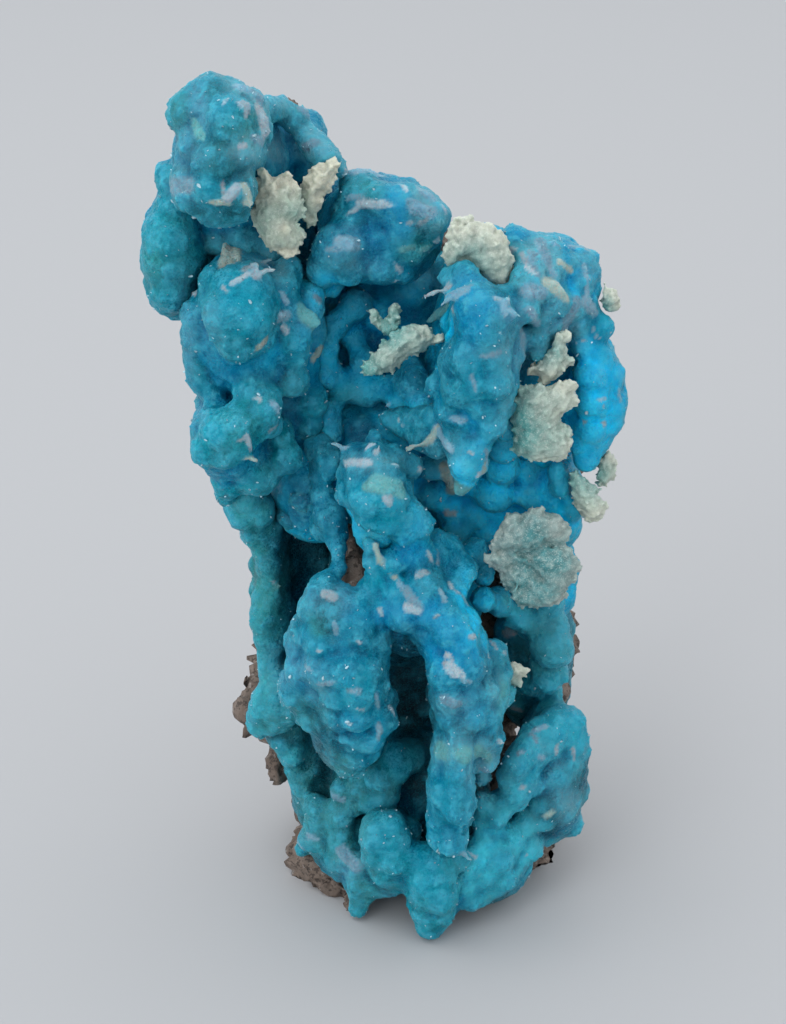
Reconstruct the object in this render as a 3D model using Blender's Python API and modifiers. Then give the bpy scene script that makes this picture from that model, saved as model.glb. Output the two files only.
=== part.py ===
"""A blue hemimorphite specimen that stands on a flat broken base.

A botryoidal crust of sky-blue crystals has grown over a slab of brown rock. Pale clusters of
bladed crystals sit on the crust in nests of their own. The tables below are in millimetres, and
MM turns them into metres. X runs to the right, Y runs away from the front, Z is up.

A place in the tables is written as (x, z, depth). Seen from the viewing point in front of the
specimen it lies over the point (x, z) of the upright plane y = 0, and depth is its own y: the
place lies where that line of sight meets the plane y = depth.
"""

import math

import bmesh
import bpy
from mathutils import Matrix, Vector, noise

MM = 0.001

# Driving dimensions, in millimetres
EYE_DISTANCE = 147.6
EYE_HEIGHT = 103.45
CENTRE_SHIFT = (0.37, -1.43)
GAP = 0.3
SOCKET_ALLOWANCE = 0.1
CREASE_GAP = 0.2
SOCKET_VOXEL = 0.3
CRUST_VOXEL = 0.55
ROCK_VOXEL = 0.8
CRUST_FACES = 3950
ROCK_FACES = 740
BLADE_FACES = 20
ROCK_ROUGHNESS = 0.7
ROCK_GRAIN = 3.0
FINE_GRAIN_SHARE = 0.5
GROUND_BLOCK = 200.0
LUMP_DEPTH = 1.6
BALL_DETAIL = 2
BLADE_SIDES = 4
BLADE_THICKNESS = 0.5
BLADE_ROOT = 0.6
BLADE_TIP = 0.42
BLADE_SHOULDER = 0.74
BLADE_ROLL = 0.9
HEART_SIZE = 0.4
HEART_BLADES = 4
ROOT_SPREAD = 0.35
ROOT_TURN = 2.4
ROOT_SWAY = 0.3

# The rock slab and its ribs: x, z, depth, then half its width, half its depth and half its height
ROCK_LUMPS = [
    (-13.0, 69.5, 10.5, 4.2, 3.6, 6.5),
    (-9.2, 72.2, 8.6, 3.5, 2.6, 3.6),
    (-9.5, 60.0, 12.0, 7.5, 3.8, 9.0),
    (-1.0, 62.5, 12.0, 6.5, 3.6, 6.5),
    (7.5, 59.0, 11.0, 6.5, 3.8, 5.5),
    (13.5, 54.0, 10.0, 5.0, 3.8, 7.5),
    (1.5, 50.0, 13.5, 13.0, 3.0, 12.0),
    (-11.5, 47.0, 11.5, 4.5, 3.6, 8.0),
    (13.0, 42.0, 10.5, 4.0, 3.6, 7.0),
    (3.0, 36.0, 13.0, 11.5, 3.4, 11.0),
    (-9.0, 35.0, 12.5, 3.5, 3.0, 9.0),
    (-3.4, 34.2, 2.0, 1.5, 8.0, 3.1),
    (1.0, 22.0, 12.0, 12.5, 3.8, 12.0),
    (-10.5, 20.5, 8.0, 3.2, 4.6, 6.0),
    (-13.3, 18.7, 2.6, 1.5, 2.8, 1.9),
    (-10.6, 13.4, 4.4, 1.6, 3.2, 2.4),
    (12.5, 25.0, 10.8, 4.6, 3.2, 8.0),
    (15.4, 28.2, 5.0, 1.6, 3.2, 3.0),
    (15.0, 21.0, 6.4, 1.5, 2.4, 2.2),
    (3.0, 9.0, 9.5, 13.5, 5.0, 11.0),
    (-5.5, 3.0, 3.5, 5.0, 6.0, 5.0),
    (-7.6, 1.4, -0.2, 1.9, 2.4, 1.9),
    (-6.0, 0.3, -1.6, 1.6, 2.0, 1.6),
    (-4.0, -2.6, -4.4, 0.8, 1.8, 1.9),
    (10.0, 3.0, 5.0, 6.0, 5.0, 5.5),
]

# The broad masses of the crust, on which the lumps sit
CRUST_MASSES = [
    (-14.2, 71.2, -1.6, 3.5, 5.4, 5.3),
    (-13.2, 69.5, 3.5, 5.0, 4.6, 6.6),
    (-8.4, 71.2, 6.8, 3.6, 3.0, 3.9),
    (-6.8, 66.0, 9.6, 3.4, 3.0, 5.4),
    (-18.2, 63.0, 2.6, 2.4, 3.4, 5.6),
    (-12.6, 56.5, -0.4, 4.4, 5.2, 6.5),
    (-14.2, 46.3, -1.4, 3.3, 5.2, 3.6),
    (-11.0, 52.5, 5.0, 6.4, 5.4, 11.5),
    (-1.0, 64.5, 4.4, 5.6, 5.4, 4.9),
    (-1.0, 54.5, 10.6, 8.0, 4.6, 9.0),
    (2.6, 59.4, 11.0, 3.6, 3.0, 4.6),
    (7.2, 53.0, -1.6, 2.9, 7.0, 8.6),
    (7.2, 54.0, 6.0, 4.4, 5.4, 9.0),
    (7.4, 62.2, 2.4, 3.2, 4.4, 2.6),
    (12.8, 59.6, 1.8, 4.4, 5.4, 4.6),
    (12.6, 49.2, 4.4, 4.6, 3.8, 7.4),
    (17.0, 50.2, 2.6, 2.8, 4.4, 5.4),
    (9.0, 42.5, 7.6, 8.2, 4.8, 8.6),
    (-1.2, 40.4, -1.8, 2.7, 6.4, 4.8),
    (-2.0, 44.0, 6.4, 6.4, 5.0, 6.4),
    (-7.0, 42.0, 5.0, 4.0, 5.6, 6.0),
    (1.4, 30.4, -1.4, 4.8, 6.8, 4.6),
    (1.0, 31.0, 6.8, 8.0, 5.4, 8.0),
    (-8.6, 34.5, 10.6, 3.8, 3.4, 9.0),
    (-5.0, 22.2, -4.6, 3.3, 6.6, 9.2),
    (6.2, 20.6, -5.2, 2.6, 6.0, 8.6),
    (0.8, 21.0, 8.0, 8.0, 4.6, 12.0),
    (5.6, 9.2, -7.6, 1.3, 3.8, 6.2),
    (3.0, 9.6, 1.6, 6.6, 4.2, 7.4),
    (-0.4, 3.2, -4.8, 2.0, 4.2, 4.4),
    (3.9, -1.6, -6.6, 1.7, 3.4, 4.6),
    (-10.8, 31.0, 5.6, 1.6, 4.6, 12.5),
    (-9.8, 19.5, 4.2, 2.8, 4.4, 5.4),
    (-7.2, 13.5, 5.4, 2.9, 4.4, 8.5),
    (0.5, 8.0, 3.0, 8.0, 5.4, 9.5),
    (12.8, 24.5, 8.2, 4.2, 3.6, 8.4),
    (13.2, 33.0, 4.8, 3.6, 3.8, 5.4),
    (14.8, 12.4, 1.2, 3.6, 5.4, 7.6),
    (10.2, 2.4, -1.4, 4.2, 5.8, 4.8),
    (-5.2, 2.6, -0.6, 3.6, 5.0, 3.6),
    (14.6, 40.0, 3.2, 2.2, 4.0, 4.6),
]

# The rounded lumps of the crust: x, z, depth, radius
HEAD_LUMPS = [
    (-16.6, 75.0, -4.6, 1.7), (-14.6, 75.4, -4.6, 2.0), (-13.0, 75.9, -4.0, 1.6),
    (-13.4, 74.0, -6.2, 2.1), (-11.5, 75.0, -4.4, 1.7), (-16.1, 72.3, -5.0, 1.6),
    (-12.1, 71.6, -6.8, 1.8), (-14.3, 71.0, -7.2, 2.1), (-16.9, 69.4, -5.2, 1.5),
    (-11.2, 73.2, -5.4, 1.4), (-16.6, 68.0, -5.8, 1.5), (-15.1, 68.4, -7.2, 2.0),
    (-13.0, 68.2, -7.0, 2.0), (-14.7, 66.7, -5.8, 1.6), (-12.9, 66.6, -5.2, 1.3),
    (-17.3, 74.4, -3.6, 1.1), (-16.0, 76.0, -3.4, 0.9), (-17.0, 71.4, -3.8, 0.9),
]
BACK_LOBE_LUMPS = [
    (-17.9, 69.0, 0.6, 1.9), (-18.0, 66.8, 0.0, 2.0), (-18.6, 64.6, -0.6, 2.5),
    (-18.6, 62.2, -1.0, 2.5), (-18.6, 60.0, -0.4, 2.3), (-19.2, 58.8, -0.4, 1.6),
    (-17.2, 59.2, 0.6, 1.8), (-16.8, 62.4, 1.6, 2.0), (-20.2, 63.2, 0.2, 1.0),
    (-20.0, 60.4, 0.4, 1.0), (-18.4, 57.9, 0.4, 1.0), (-19.0, 70.1, 1.0, 0.8),
]
ARCH_LUMPS = [
    (-10.2, 74.9, 0.4, 1.2), (-9.1, 74.9, 1.4, 1.2), (-7.9, 73.9, 1.6, 1.2),
    (-6.9, 72.7, 1.6, 1.2), (-6.3, 71.9, 0.4, 1.3), (-5.6, 71.1, 0.2, 1.3),
    (-4.6, 70.2, 1.0, 1.1), (-8.6, 71.2, 6.8, 2.0), (-7.6, 69.2, 7.0, 2.0),
    (-12.6, 63.7, 0.6, 2.2), (-10.4, 63.4, 1.4, 1.7), (-14.6, 63.9, 0.8, 1.4),
]
UPPER_LEFT_LUMPS = [
    (-13.6, 59.6, -5.2, 1.9), (-12.2, 59.3, -5.6, 1.9), (-13.9, 57.4, -6.2, 2.2),
    (-12.1, 57.2, -6.2, 2.1), (-13.3, 54.8, -6.0, 2.1), (-11.8, 55.3, -5.6, 1.7),
    (-11.2, 58.4, -4.8, 1.6), (-15.1, 60.2, -2.6, 1.4), (-15.4, 58.0, -3.4, 1.6),
    (-16.4, 57.2, -1.8, 1.5), (-16.4, 55.4, -1.4, 1.6), (-16.4, 53.2, -1.6, 1.6),
    (-16.2, 51.4, -1.8, 1.6), (-15.6, 50.4, -2.4, 1.4), (-16.5, 49.2, -0.4, 0.9),
    (-9.3, 59.8, -2.0, 1.8), (-8.7, 61.3, -1.0, 1.3), (-9.2, 57.2, -2.8, 1.9),
    (-8.5, 55.2, -2.8, 1.7), (-8.3, 53.5, -2.6, 1.3), (-7.0, 57.4, -1.2, 1.4),
    (-7.0, 59.0, -0.2, 1.3), (-11.2, 52.5, -3.4, 1.4), (-13.0, 52.2, -2.8, 1.3),
    (-8.6, 51.4, -1.6, 1.6), (-9.9, 53.4, -3.0, 1.0), (-14.6, 52.8, -3.4, 1.2),
]
MIDDLE_LEFT_LUMPS = [
    (-15.1, 46.4, -6.4, 2.2), (-16.2, 45.0, -5.0, 1.7), (-14.7, 44.6, -6.2, 1.7),
    (-13.4, 45.4, -6.2, 1.6), (-13.6, 47.4, -6.2, 1.8), (-15.8, 47.7, -4.8, 1.3),
    (-12.3, 50.0, -5.0, 1.7), (-11.1, 48.7, -5.0, 1.6), (-10.7, 50.0, -4.2, 1.0),
    (-12.0, 47.3, -5.0, 1.6), (-10.7, 47.1, -4.0, 1.2), (-9.8, 46.0, -2.0, 1.6),
    (-9.2, 44.2, -2.0, 1.8), (-12.2, 42.4, -3.0, 1.9), (-11.2, 41.9, -3.0, 1.3),
    (-14.4, 42.0, -1.6, 1.6), (-14.7, 41.0, -0.4, 1.1), (-13.0, 43.5, -3.6, 1.1),
    (-6.9, 49.3, 1.4, 1.4), (-7.2, 47.2, 1.8, 1.4), (-16.9, 46.4, -3.6, 1.0),
]
SLOPE_LUMPS = [
    (-3.6, 68.9, 1.8, 1.2), (-2.2, 68.7, 1.8, 1.1), (-3.1, 67.9, 0.8, 1.4),
    (-1.0, 67.4, 0.0, 1.6), (0.6, 67.1, 0.0, 1.8), (2.3, 66.8, 0.0, 1.8),
    (3.4, 65.8, 0.0, 1.4), (-4.0, 66.6, 0.8, 1.3), (-3.5, 65.7, 0.0, 1.4),
    (-1.4, 65.8, 0.0, 1.6), (1.0, 65.1, -0.4, 1.6), (3.1, 64.4, 0.4, 1.4),
    (-4.7, 63.4, -1.0, 2.0), (-3.4, 63.6, -1.8, 1.2), (-2.2, 63.4, 0.0, 1.6),
    (0.0, 63.6, 0.0, 1.5), (1.8, 63.2, 0.6, 1.4), (-5.8, 61.6, 0.0, 1.6),
    (-3.6, 61.6, 0.0, 1.6), (-1.0, 61.8, 0.6, 1.6), (0.8, 61.4, 1.2, 1.2),
    (-6.6, 60.0, 1.0, 1.4), (-5.1, 59.8, 2.0, 1.2), (3.9, 66.6, 0.6, 0.9),
]
HOLLOW_LUMPS = [
    (-3.2, 58.3, 4.2, 1.8), (-4.8, 56.8, 3.6, 1.5), (-5.6, 54.6, 3.0, 1.4),
    (-3.6, 55.6, 5.2, 1.5), (-2.6, 53.4, 4.4, 1.3), (-5.6, 52.2, 2.8, 1.4),
    (-4.2, 50.8, 3.2, 1.5), (-2.3, 50.7, 3.4, 1.6), (-0.5, 51.2, 2.8, 1.4),
    (1.6, 51.4, 1.2, 1.6), (1.6, 53.0, 2.4, 1.2), (0.8, 49.4, 0.8, 1.5),
    (2.5, 49.6, -0.4, 1.3), (-5.6, 48.6, 3.2, 1.3), (-5.4, 46.7, 2.2, 1.3),
    (-1.2, 57.4, 6.2, 1.8), (1.9, 60.0, 8.2, 1.8), (0.8, 55.0, 6.0, 1.7),
]
RIDGE_LUMPS = [
    (4.8, 60.5, -3.8, 1.1), (6.0, 60.8, -4.6, 1.3), (5.2, 59.2, -5.0, 1.0),
    (7.2, 57.9, -7.6, 1.9), (8.5, 57.3, -7.6, 1.7), (6.6, 56.1, -8.0, 1.7),
    (8.2, 55.6, -8.8, 1.7), (9.5, 55.9, -7.2, 1.4), (9.2, 58.6, -6.0, 1.4),
    (6.5, 53.4, -8.4, 1.9), (8.6, 53.5, -8.8, 1.8), (5.2, 52.8, -6.8, 1.4),
    (7.2, 51.1, -9.0, 1.8), (8.9, 51.3, -8.4, 1.7), (9.3, 49.5, -7.8, 1.5),
    (5.8, 50.4, -8.0, 1.6), (7.6, 48.9, -8.4, 1.6), (5.0, 48.7, -6.4, 1.5),
    (6.1, 47.5, -7.4, 1.3), (8.6, 47.5, -7.4, 1.5), (3.7, 50.8, -4.6, 1.3),
    (3.8, 47.7, -4.2, 1.4), (10.0, 53.4, -5.8, 1.3), (10.2, 55.4, -5.0, 1.3),
    (9.8, 51.4, -6.4, 1.1), (2.6, 47.8, -2.2, 1.4), (1.2, 47.4, -1.4, 1.4),
    (2.4, 45.9, -3.2, 1.4), (3.9, 45.4, -4.6, 1.3), (5.6, 45.5, -7.4, 1.4),
    (7.2, 45.2, -7.8, 1.4), (6.2, 43.6, -7.8, 1.4), (7.4, 43.4, -7.4, 1.1),
    (6.4, 42.0, -7.4, 1.1), (-0.4, 48.0, -0.6, 1.0), (10.0, 49.0, -5.4, 1.2),
]
UPPER_RIGHT_LUMPS = [
    (10.0, 63.9, -0.4, 1.2), (10.7, 62.8, -1.2, 1.3), (12.1, 63.4, -1.0, 1.2),
    (13.5, 62.7, -1.4, 1.2), (14.6, 62.0, -1.2, 1.2), (15.7, 61.6, -0.4, 1.2),
    (16.6, 61.0, 0.2, 1.0), (16.6, 59.7, 0.2, 1.1), (15.5, 60.1, -1.2, 1.2),
    (13.4, 61.0, -3.0, 1.2), (11.9, 61.4, -3.0, 1.4), (10.9, 60.0, -4.2, 1.5),
    (12.6, 59.4, -4.2, 1.3), (13.8, 58.6, -3.6, 1.3), (11.2, 57.9, -5.2, 1.4),
    (12.6, 57.3, -4.4, 1.3), (12.3, 55.4, -4.2, 1.4), (13.6, 56.2, -3.6, 1.1),
    (12.4, 53.8, -3.6, 1.0), (15.2, 58.3, -1.8, 1.2), (16.4, 57.9, -1.2, 1.0),
    (15.8, 56.4, -1.4, 1.1), (16.2, 62.2, 0.6, 0.8),
]
AZURE_LUMPS = [
    (16.2, 54.4, -1.8, 1.4), (17.7, 53.4, -1.4, 1.5), (18.3, 51.8, -0.8, 1.7),
    (16.9, 51.8, -2.2, 1.6), (17.2, 49.7, -2.2, 1.9), (18.7, 49.2, -0.6, 1.8),
    (18.7, 47.7, -0.4, 1.5), (17.2, 47.2, -1.2, 1.6), (17.7, 46.0, -0.4, 1.4),
    (16.2, 45.6, -0.6, 1.3), (16.9, 44.2, -0.2, 1.3), (17.9, 56.3, -0.6, 1.2),
    (18.9, 50.6, 0.4, 1.2), (17.2, 55.2, -0.6, 1.1),
]
MIDDLE_LUMPS = [
    (4.6, 43.8, 2.0, 1.6), (3.3, 42.8, 0.8, 1.4), (5.4, 41.8, 2.6, 1.6),
    (3.2, 40.2, 2.6, 1.4), (5.0, 39.2, 3.2, 1.7), (7.2, 38.5, 3.2, 1.8),
    (9.0, 40.6, 1.6, 1.9), (9.6, 43.0, 0.0, 1.8), (9.6, 45.2, -1.4, 1.6),
    (11.6, 42.8, 1.6, 1.6), (12.0, 40.7, 2.2, 1.6), (8.2, 36.8, 3.6, 1.6),
    (5.5, 37.2, 3.6, 1.5), (14.5, 42.6, -0.8, 1.2), (14.8, 41.3, -0.4, 1.1),
    (16.0, 39.3, -0.2, 1.2), (15.4, 37.2, 0.6, 1.1), (9.8, 47.2, -3.2, 1.4),
    (7.6, 41.2, 2.8, 1.5), (15.2, 33.8, 1.4, 1.2),
]
CENTRE_LUMPS = [
    (-1.6, 45.9, -3.8, 0.9), (-3.2, 43.8, -5.4, 1.4), (-1.6, 44.0, -6.4, 1.5),
    (0.0, 43.8, -5.6, 1.4), (1.5, 43.2, -4.4, 1.3), (-4.0, 42.4, -5.0, 1.3),
    (-2.6, 42.2, -7.4, 1.7), (-0.6, 42.0, -7.8, 1.5), (-3.8, 40.6, -6.2, 1.5),
    (-2.2, 40.1, -8.4, 1.9), (-0.2, 40.1, -8.4, 1.7), (-2.3, 38.5, -8.2, 1.7),
    (-0.6, 38.1, -8.4, 1.7), (1.2, 38.7, -7.4, 1.5), (2.3, 37.9, -6.4, 1.3),
    (2.4, 37.0, -6.0, 1.1), (0.8, 37.0, -7.4, 1.3), (-6.4, 44.6, 0.0, 1.4),
    (-5.5, 43.2, -1.2, 1.4), (-6.5, 42.2, -0.6, 1.2), (-6.1, 40.3, -1.2, 1.5),
    (-5.5, 38.6, -1.8, 1.6), (-6.4, 37.5, -1.2, 1.4), (-5.1, 36.8, -2.4, 1.2),
    (-9.0, 38.7, 2.2, 1.5), (-8.0, 40.5, 1.4, 1.4), (-4.9, 35.2, -3.8, 0.9),
    (-4.9, 33.6, -4.6, 0.9), (-2.0, 36.0, -7.0, 1.0), (-1.8, 34.4, -7.0, 1.0),
    (1.3, 36.0, -6.6, 1.5), (2.5, 34.8, -6.4, 1.4), (1.4, 34.3, -7.0, 1.5),
    (0.0, 34.2, -7.2, 1.2), (-1.6, 32.8, -6.8, 1.2), (3.9, 33.9, -5.0, 1.5),
    (5.0, 34.8, -3.6, 1.5), (6.3, 33.2, -4.2, 1.5), (7.3, 34.8, -1.2, 1.4),
    (5.7, 31.5, -6.0, 1.5), (-1.9, 31.0, -7.0, 1.5), (0.4, 31.0, -7.6, 1.8),
    (2.8, 31.2, -7.6, 1.8), (-1.2, 29.3, -8.0, 1.7), (1.0, 28.9, -8.2, 1.7),
    (3.3, 29.1, -8.6, 1.8), (5.0, 29.6, -8.0, 1.5), (-3.2, 29.4, -8.2, 1.4),
    (8.2, 32.4, -1.4, 1.4), (3.9, 35.9, -3.4, 1.2),
]
LEFT_FINGER_LUMPS = [
    (-6.2, 31.3, -7.0, 1.6), (-4.8, 30.3, -8.0, 1.5), (-7.2, 29.4, -8.0, 1.8),
    (-5.2, 28.5, -9.4, 1.8), (-3.4, 27.7, -9.2, 1.6), (-8.1, 27.4, -7.6, 1.5),
    (-8.5, 25.6, -7.6, 1.7), (-6.6, 26.0, -9.6, 1.8), (-4.4, 25.7, -10.0, 1.8),
    (-2.5, 25.7, -9.6, 1.7), (-1.2, 26.0, -8.2, 1.3), (-8.5, 23.3, -8.0, 2.0),
    (-6.4, 23.1, -10.4, 1.9), (-4.2, 23.1, -10.9, 1.8), (-2.4, 23.3, -10.4, 1.7),
    (-1.2, 23.5, -9.2, 1.2), (-8.8, 21.2, -7.2, 1.8), (-7.1, 20.8, -9.4, 1.9),
    (-5.2, 20.6, -10.9, 1.8), (-3.4, 20.8, -11.2, 1.8), (-1.7, 21.0, -10.4, 1.5),
    (-0.7, 19.8, -9.2, 1.1), (-7.6, 18.5, -7.6, 1.8), (-6.8, 17.7, -8.0, 1.5),
    (-5.2, 18.4, -10.4, 1.7), (-3.4, 18.4, -11.2, 1.8), (-1.8, 18.3, -10.7, 1.5),
    (-0.6, 17.7, -9.6, 1.1), (-5.0, 15.9, -9.6, 1.4), (-3.8, 15.8, -10.5, 1.7),
    (-2.1, 15.9, -10.2, 1.6), (-4.9, 13.7, -9.2, 1.4), (-3.5, 13.8, -10.0, 1.7),
    (-2.1, 14.1, -9.5, 1.3), (-4.4, 12.6, -8.7, 1.2), (-3.6, 12.5, -9.0, 1.1),
]
RIGHT_FINGER_LUMPS = [
    (5.2, 27.5, -9.4, 1.9), (3.1, 27.2, -8.6, 1.6), (6.6, 27.6, -8.4, 1.4),
    (4.3, 25.2, -9.4, 1.8), (6.2, 25.5, -10.4, 1.9), (7.5, 25.7, -8.4, 1.3),
    (5.0, 23.0, -10.4, 1.8), (6.7, 23.1, -10.9, 1.8), (7.9, 23.3, -9.0, 1.3),
    (4.1, 22.9, -9.0, 1.1), (5.2, 20.5, -10.9, 1.8), (6.9, 20.5, -10.9, 1.8),
    (8.4, 20.9, -9.4, 1.5), (4.3, 19.8, -9.8, 1.1), (5.4, 18.1, -10.9, 1.8),
    (7.3, 18.1, -10.9, 1.8), (8.8, 18.1, -9.4, 1.6), (9.5, 20.3, -7.8, 1.4),
    (9.7, 22.4, -7.0, 1.4), (9.3, 24.4, -6.6, 1.2), (4.7, 16.4, -9.8, 1.2),
    (6.0, 16.2, -10.9, 1.4), (8.1, 15.8, -10.4, 1.6), (8.9, 14.2, -9.6, 1.4),
    (9.3, 15.9, -9.0, 1.2), (9.0, 13.3, -9.2, 1.1), (4.6, 14.2, -11.0, 1.4),
    (6.1, 14.3, -12.0, 1.5), (7.0, 14.5, -11.2, 1.1), (4.6, 12.4, -11.0, 1.4),
    (6.1, 12.4, -12.3, 1.6), (7.1, 12.3, -11.2, 0.9), (4.9, 10.3, -11.4, 1.6),
    (6.2, 10.4, -12.4, 1.6), (7.1, 10.2, -11.2, 0.9), (4.9, 8.3, -11.4, 1.6),
    (6.2, 8.4, -12.4, 1.6), (7.1, 8.2, -11.2, 0.9), (4.7, 6.3, -11.4, 1.6),
    (6.1, 6.5, -12.2, 1.5), (4.7, 4.8, -11.0, 1.4), (5.8, 4.8, -11.7, 1.5),
]
LOW_FRONT_LUMPS = [
    (-1.6, 6.3, -8.5, 1.6), (-0.1, 6.5, -9.0, 1.6), (-1.9, 4.7, -9.0, 1.6),
    (-0.3, 4.6, -9.4, 1.7), (0.7, 5.0, -8.8, 1.2), (-1.5, 2.7, -8.8, 1.6),
    (0.1, 2.6, -9.4, 1.7), (-0.8, 0.9, -8.4, 1.6), (0.8, 0.6, -8.8, 1.6),
    (0.2, -0.6, -8.0, 1.3), (2.6, 2.1, -9.4, 1.5), (4.1, 1.9, -9.9, 1.4),
    (3.0, 0.3, -9.9, 1.7), (4.5, 0.3, -10.2, 1.6), (3.0, -1.7, -9.9, 1.7),
    (4.7, -1.7, -10.2, 1.7), (3.2, -3.7, -9.4, 1.7), (4.7, -3.7, -9.5, 1.6),
    (5.3, -2.5, -9.2, 1.2), (3.6, -5.1, -8.8, 1.5), (4.6, -5.0, -8.8, 1.3),
    (1.7, 4.9, -5.4, 1.2), (6.6, 2.6, -8.6, 1.0),
]
LOW_LEFT_LUMPS = [
    (-5.0, 10.2, -3.4, 1.2), (-3.3, 10.6, -3.4, 1.4), (-2.0, 9.2, -3.8, 1.5),
    (-0.7, 10.0, -3.6, 1.4), (-5.0, 7.4, -3.4, 1.7), (-3.8, 8.4, -3.8, 1.2),
    (-1.4, 11.8, -4.0, 1.3), (0.3, 12.6, -3.2, 1.4), (1.6, 13.6, -2.2, 1.6),
    (0.2, 14.2, -3.0, 1.3), (-7.4, 8.2, -2.2, 1.5), (-7.2, 6.0, -2.6, 1.6),
    (-8.2, 4.6, -2.2, 1.1), (-8.9, 2.9, -1.2, 0.9), (-7.2, 3.8, -3.2, 1.2),
    (-5.4, 3.8, -4.2, 1.3), (-4.4, 2.8, -5.2, 1.2), (-3.4, 1.5, -6.2, 1.2),
    (-5.4, 1.8, -4.8, 1.2), (-3.6, -0.4, -6.4, 1.2), (-3.6, -2.2, -6.4, 0.9),
    (-3.3, -3.4, -6.2, 0.9), (-2.2, -0.4, -6.6, 1.2), (-1.4, -1.2, -6.6, 1.1),
    (1.2, 17.0, 3.4, 1.8), (-5.2, 5.4, -3.8, 1.3),
]
LEFT_WALL_LUMPS = [
    (-14.0, 39.3, 1.2, 1.1), (-13.5, 38.2, 0.8, 1.2), (-13.0, 40.2, -0.2, 1.5),
    (-11.6, 39.0, 1.2, 1.3), (-12.6, 36.6, 1.8, 1.3), (-11.9, 35.0, 2.2, 1.1),
    (-11.5, 37.4, 2.4, 1.2), (-11.5, 33.4, 2.4, 1.0), (-10.9, 32.0, 2.4, 1.2),
    (-11.3, 30.5, 2.0, 1.1), (-10.6, 30.2, 2.4, 1.2), (-11.8, 28.2, 0.8, 1.4),
    (-10.8, 27.8, 1.4, 1.4), (-11.6, 26.3, 0.4, 1.3), (-10.7, 26.0, 0.8, 1.3),
    (-11.5, 24.3, 0.0, 1.3), (-11.3, 23.0, -0.2, 1.4), (-10.6, 22.0, -1.0, 1.4),
    (-11.6, 21.6, -0.2, 1.0), (-12.2, 20.2, -0.8, 1.2), (-12.4, 18.6, -0.8, 1.4),
    (-12.8, 17.0, -0.4, 1.1), (-10.9, 19.4, -1.6, 1.9), (-10.5, 17.7, -1.6, 1.7),
    (-9.4, 18.6, -2.0, 1.6), (-11.6, 17.0, -1.0, 1.2), (-10.6, 15.2, 0.2, 1.3),
    (-9.9, 13.6, 0.4, 1.2), (-9.3, 12.2, 1.0, 1.1), (-9.3, 14.4, 0.8, 1.4),
    (-8.7, 10.4, 0.6, 1.1), (-8.2, 12.2, 1.4, 1.2), (-8.0, 8.8, -0.4, 1.0),
]
RIGHT_SIDE_LUMPS = [
    (14.5, 29.6, 0.4, 1.5), (13.0, 27.8, 1.4, 1.5), (11.4, 28.8, 1.8, 1.4),
    (9.6, 29.8, -0.2, 1.4), (8.2, 30.4, -2.0, 1.3), (15.0, 27.6, 1.2, 1.2),
    (12.2, 26.9, 2.4, 1.2), (14.4, 25.5, 0.4, 1.8), (15.3, 25.2, 0.8, 1.5),
    (14.2, 22.2, 1.4, 1.5), (15.2, 22.8, 1.8, 1.2), (15.0, 20.9, 2.6, 0.9),
    (13.4, 24.0, 2.4, 1.2), (12.6, 21.6, 2.8, 1.2),
]
LOW_RIGHT_LUMPS = [
    (16.2, 17.2, -1.2, 1.8), (16.9, 15.6, -1.2, 1.8), (15.1, 16.7, -2.2, 1.7),
    (16.9, 17.8, -0.6, 1.2), (13.6, 16.6, -3.2, 1.3), (14.6, 14.9, -3.2, 1.5),
    (16.4, 13.7, -1.2, 1.5), (12.6, 16.6, -2.6, 1.1), (12.4, 14.2, -5.2, 1.5),
    (13.4, 13.4, -4.6, 1.2), (11.6, 13.0, -5.6, 1.5), (11.0, 11.4, -5.6, 1.5),
    (12.5, 11.6, -5.2, 1.4), (11.6, 9.7, -5.6, 1.5), (10.4, 8.4, -5.6, 1.5),
    (10.0, 7.5, -5.6, 1.2), (12.0, 8.6, -5.0, 1.1), (13.2, 10.6, -4.2, 1.1),
    (15.3, 12.1, -2.2, 1.6), (16.4, 11.7, -1.2, 1.2), (15.5, 9.7, -2.2, 1.6),
    (14.2, 9.0, -3.0, 1.3), (16.4, 9.5, -0.8, 1.1), (17.0, 7.8, 0.2, 1.1),
    (17.4, 6.4, 0.6, 1.0), (16.3, 7.0, -0.6, 1.3), (14.4, 7.0, -3.0, 1.3),
    (12.8, 6.4, -3.6, 1.3), (15.8, 5.4, -0.2, 1.1), (14.7, 4.9, -1.6, 1.2),
    (9.6, 5.2, -5.6, 1.5), (11.4, 4.6, -5.0, 1.5), (13.1, 3.8, -3.6, 1.4),
    (8.4, 3.2, -7.0, 1.4), (10.2, 2.8, -6.2, 1.6), (11.9, 2.2, -5.0, 1.5),
    (12.7, 1.2, -3.8, 1.2), (7.2, 1.4, -8.0, 1.4), (9.0, 0.8, -7.0, 1.6),
    (10.8, 0.4, -6.0, 1.4), (11.7, 0.1, -5.0, 1.1), (7.0, -0.8, -8.0, 1.3),
    (8.7, -1.3, -7.0, 1.5), (9.7, -0.9, -6.2, 1.2), (7.5, -2.5, -7.6, 1.3),
    (8.6, -2.6, -7.2, 1.1), (17.7, 14.6, -0.4, 0.9), (17.2, 12.4, 0.2, 0.8),
]
CRUST_LUMPS = (
    HEAD_LUMPS + BACK_LOBE_LUMPS + ARCH_LUMPS + UPPER_LEFT_LUMPS + MIDDLE_LEFT_LUMPS
    + SLOPE_LUMPS + HOLLOW_LUMPS + RIDGE_LUMPS + UPPER_RIGHT_LUMPS + AZURE_LUMPS
    + MIDDLE_LUMPS + CENTRE_LUMPS + LEFT_FINGER_LUMPS + RIGHT_FINGER_LUMPS
    + LOW_FRONT_LUMPS + LOW_LEFT_LUMPS + LEFT_WALL_LUMPS + RIGHT_SIDE_LUMPS + LOW_RIGHT_LUMPS
)

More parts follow.
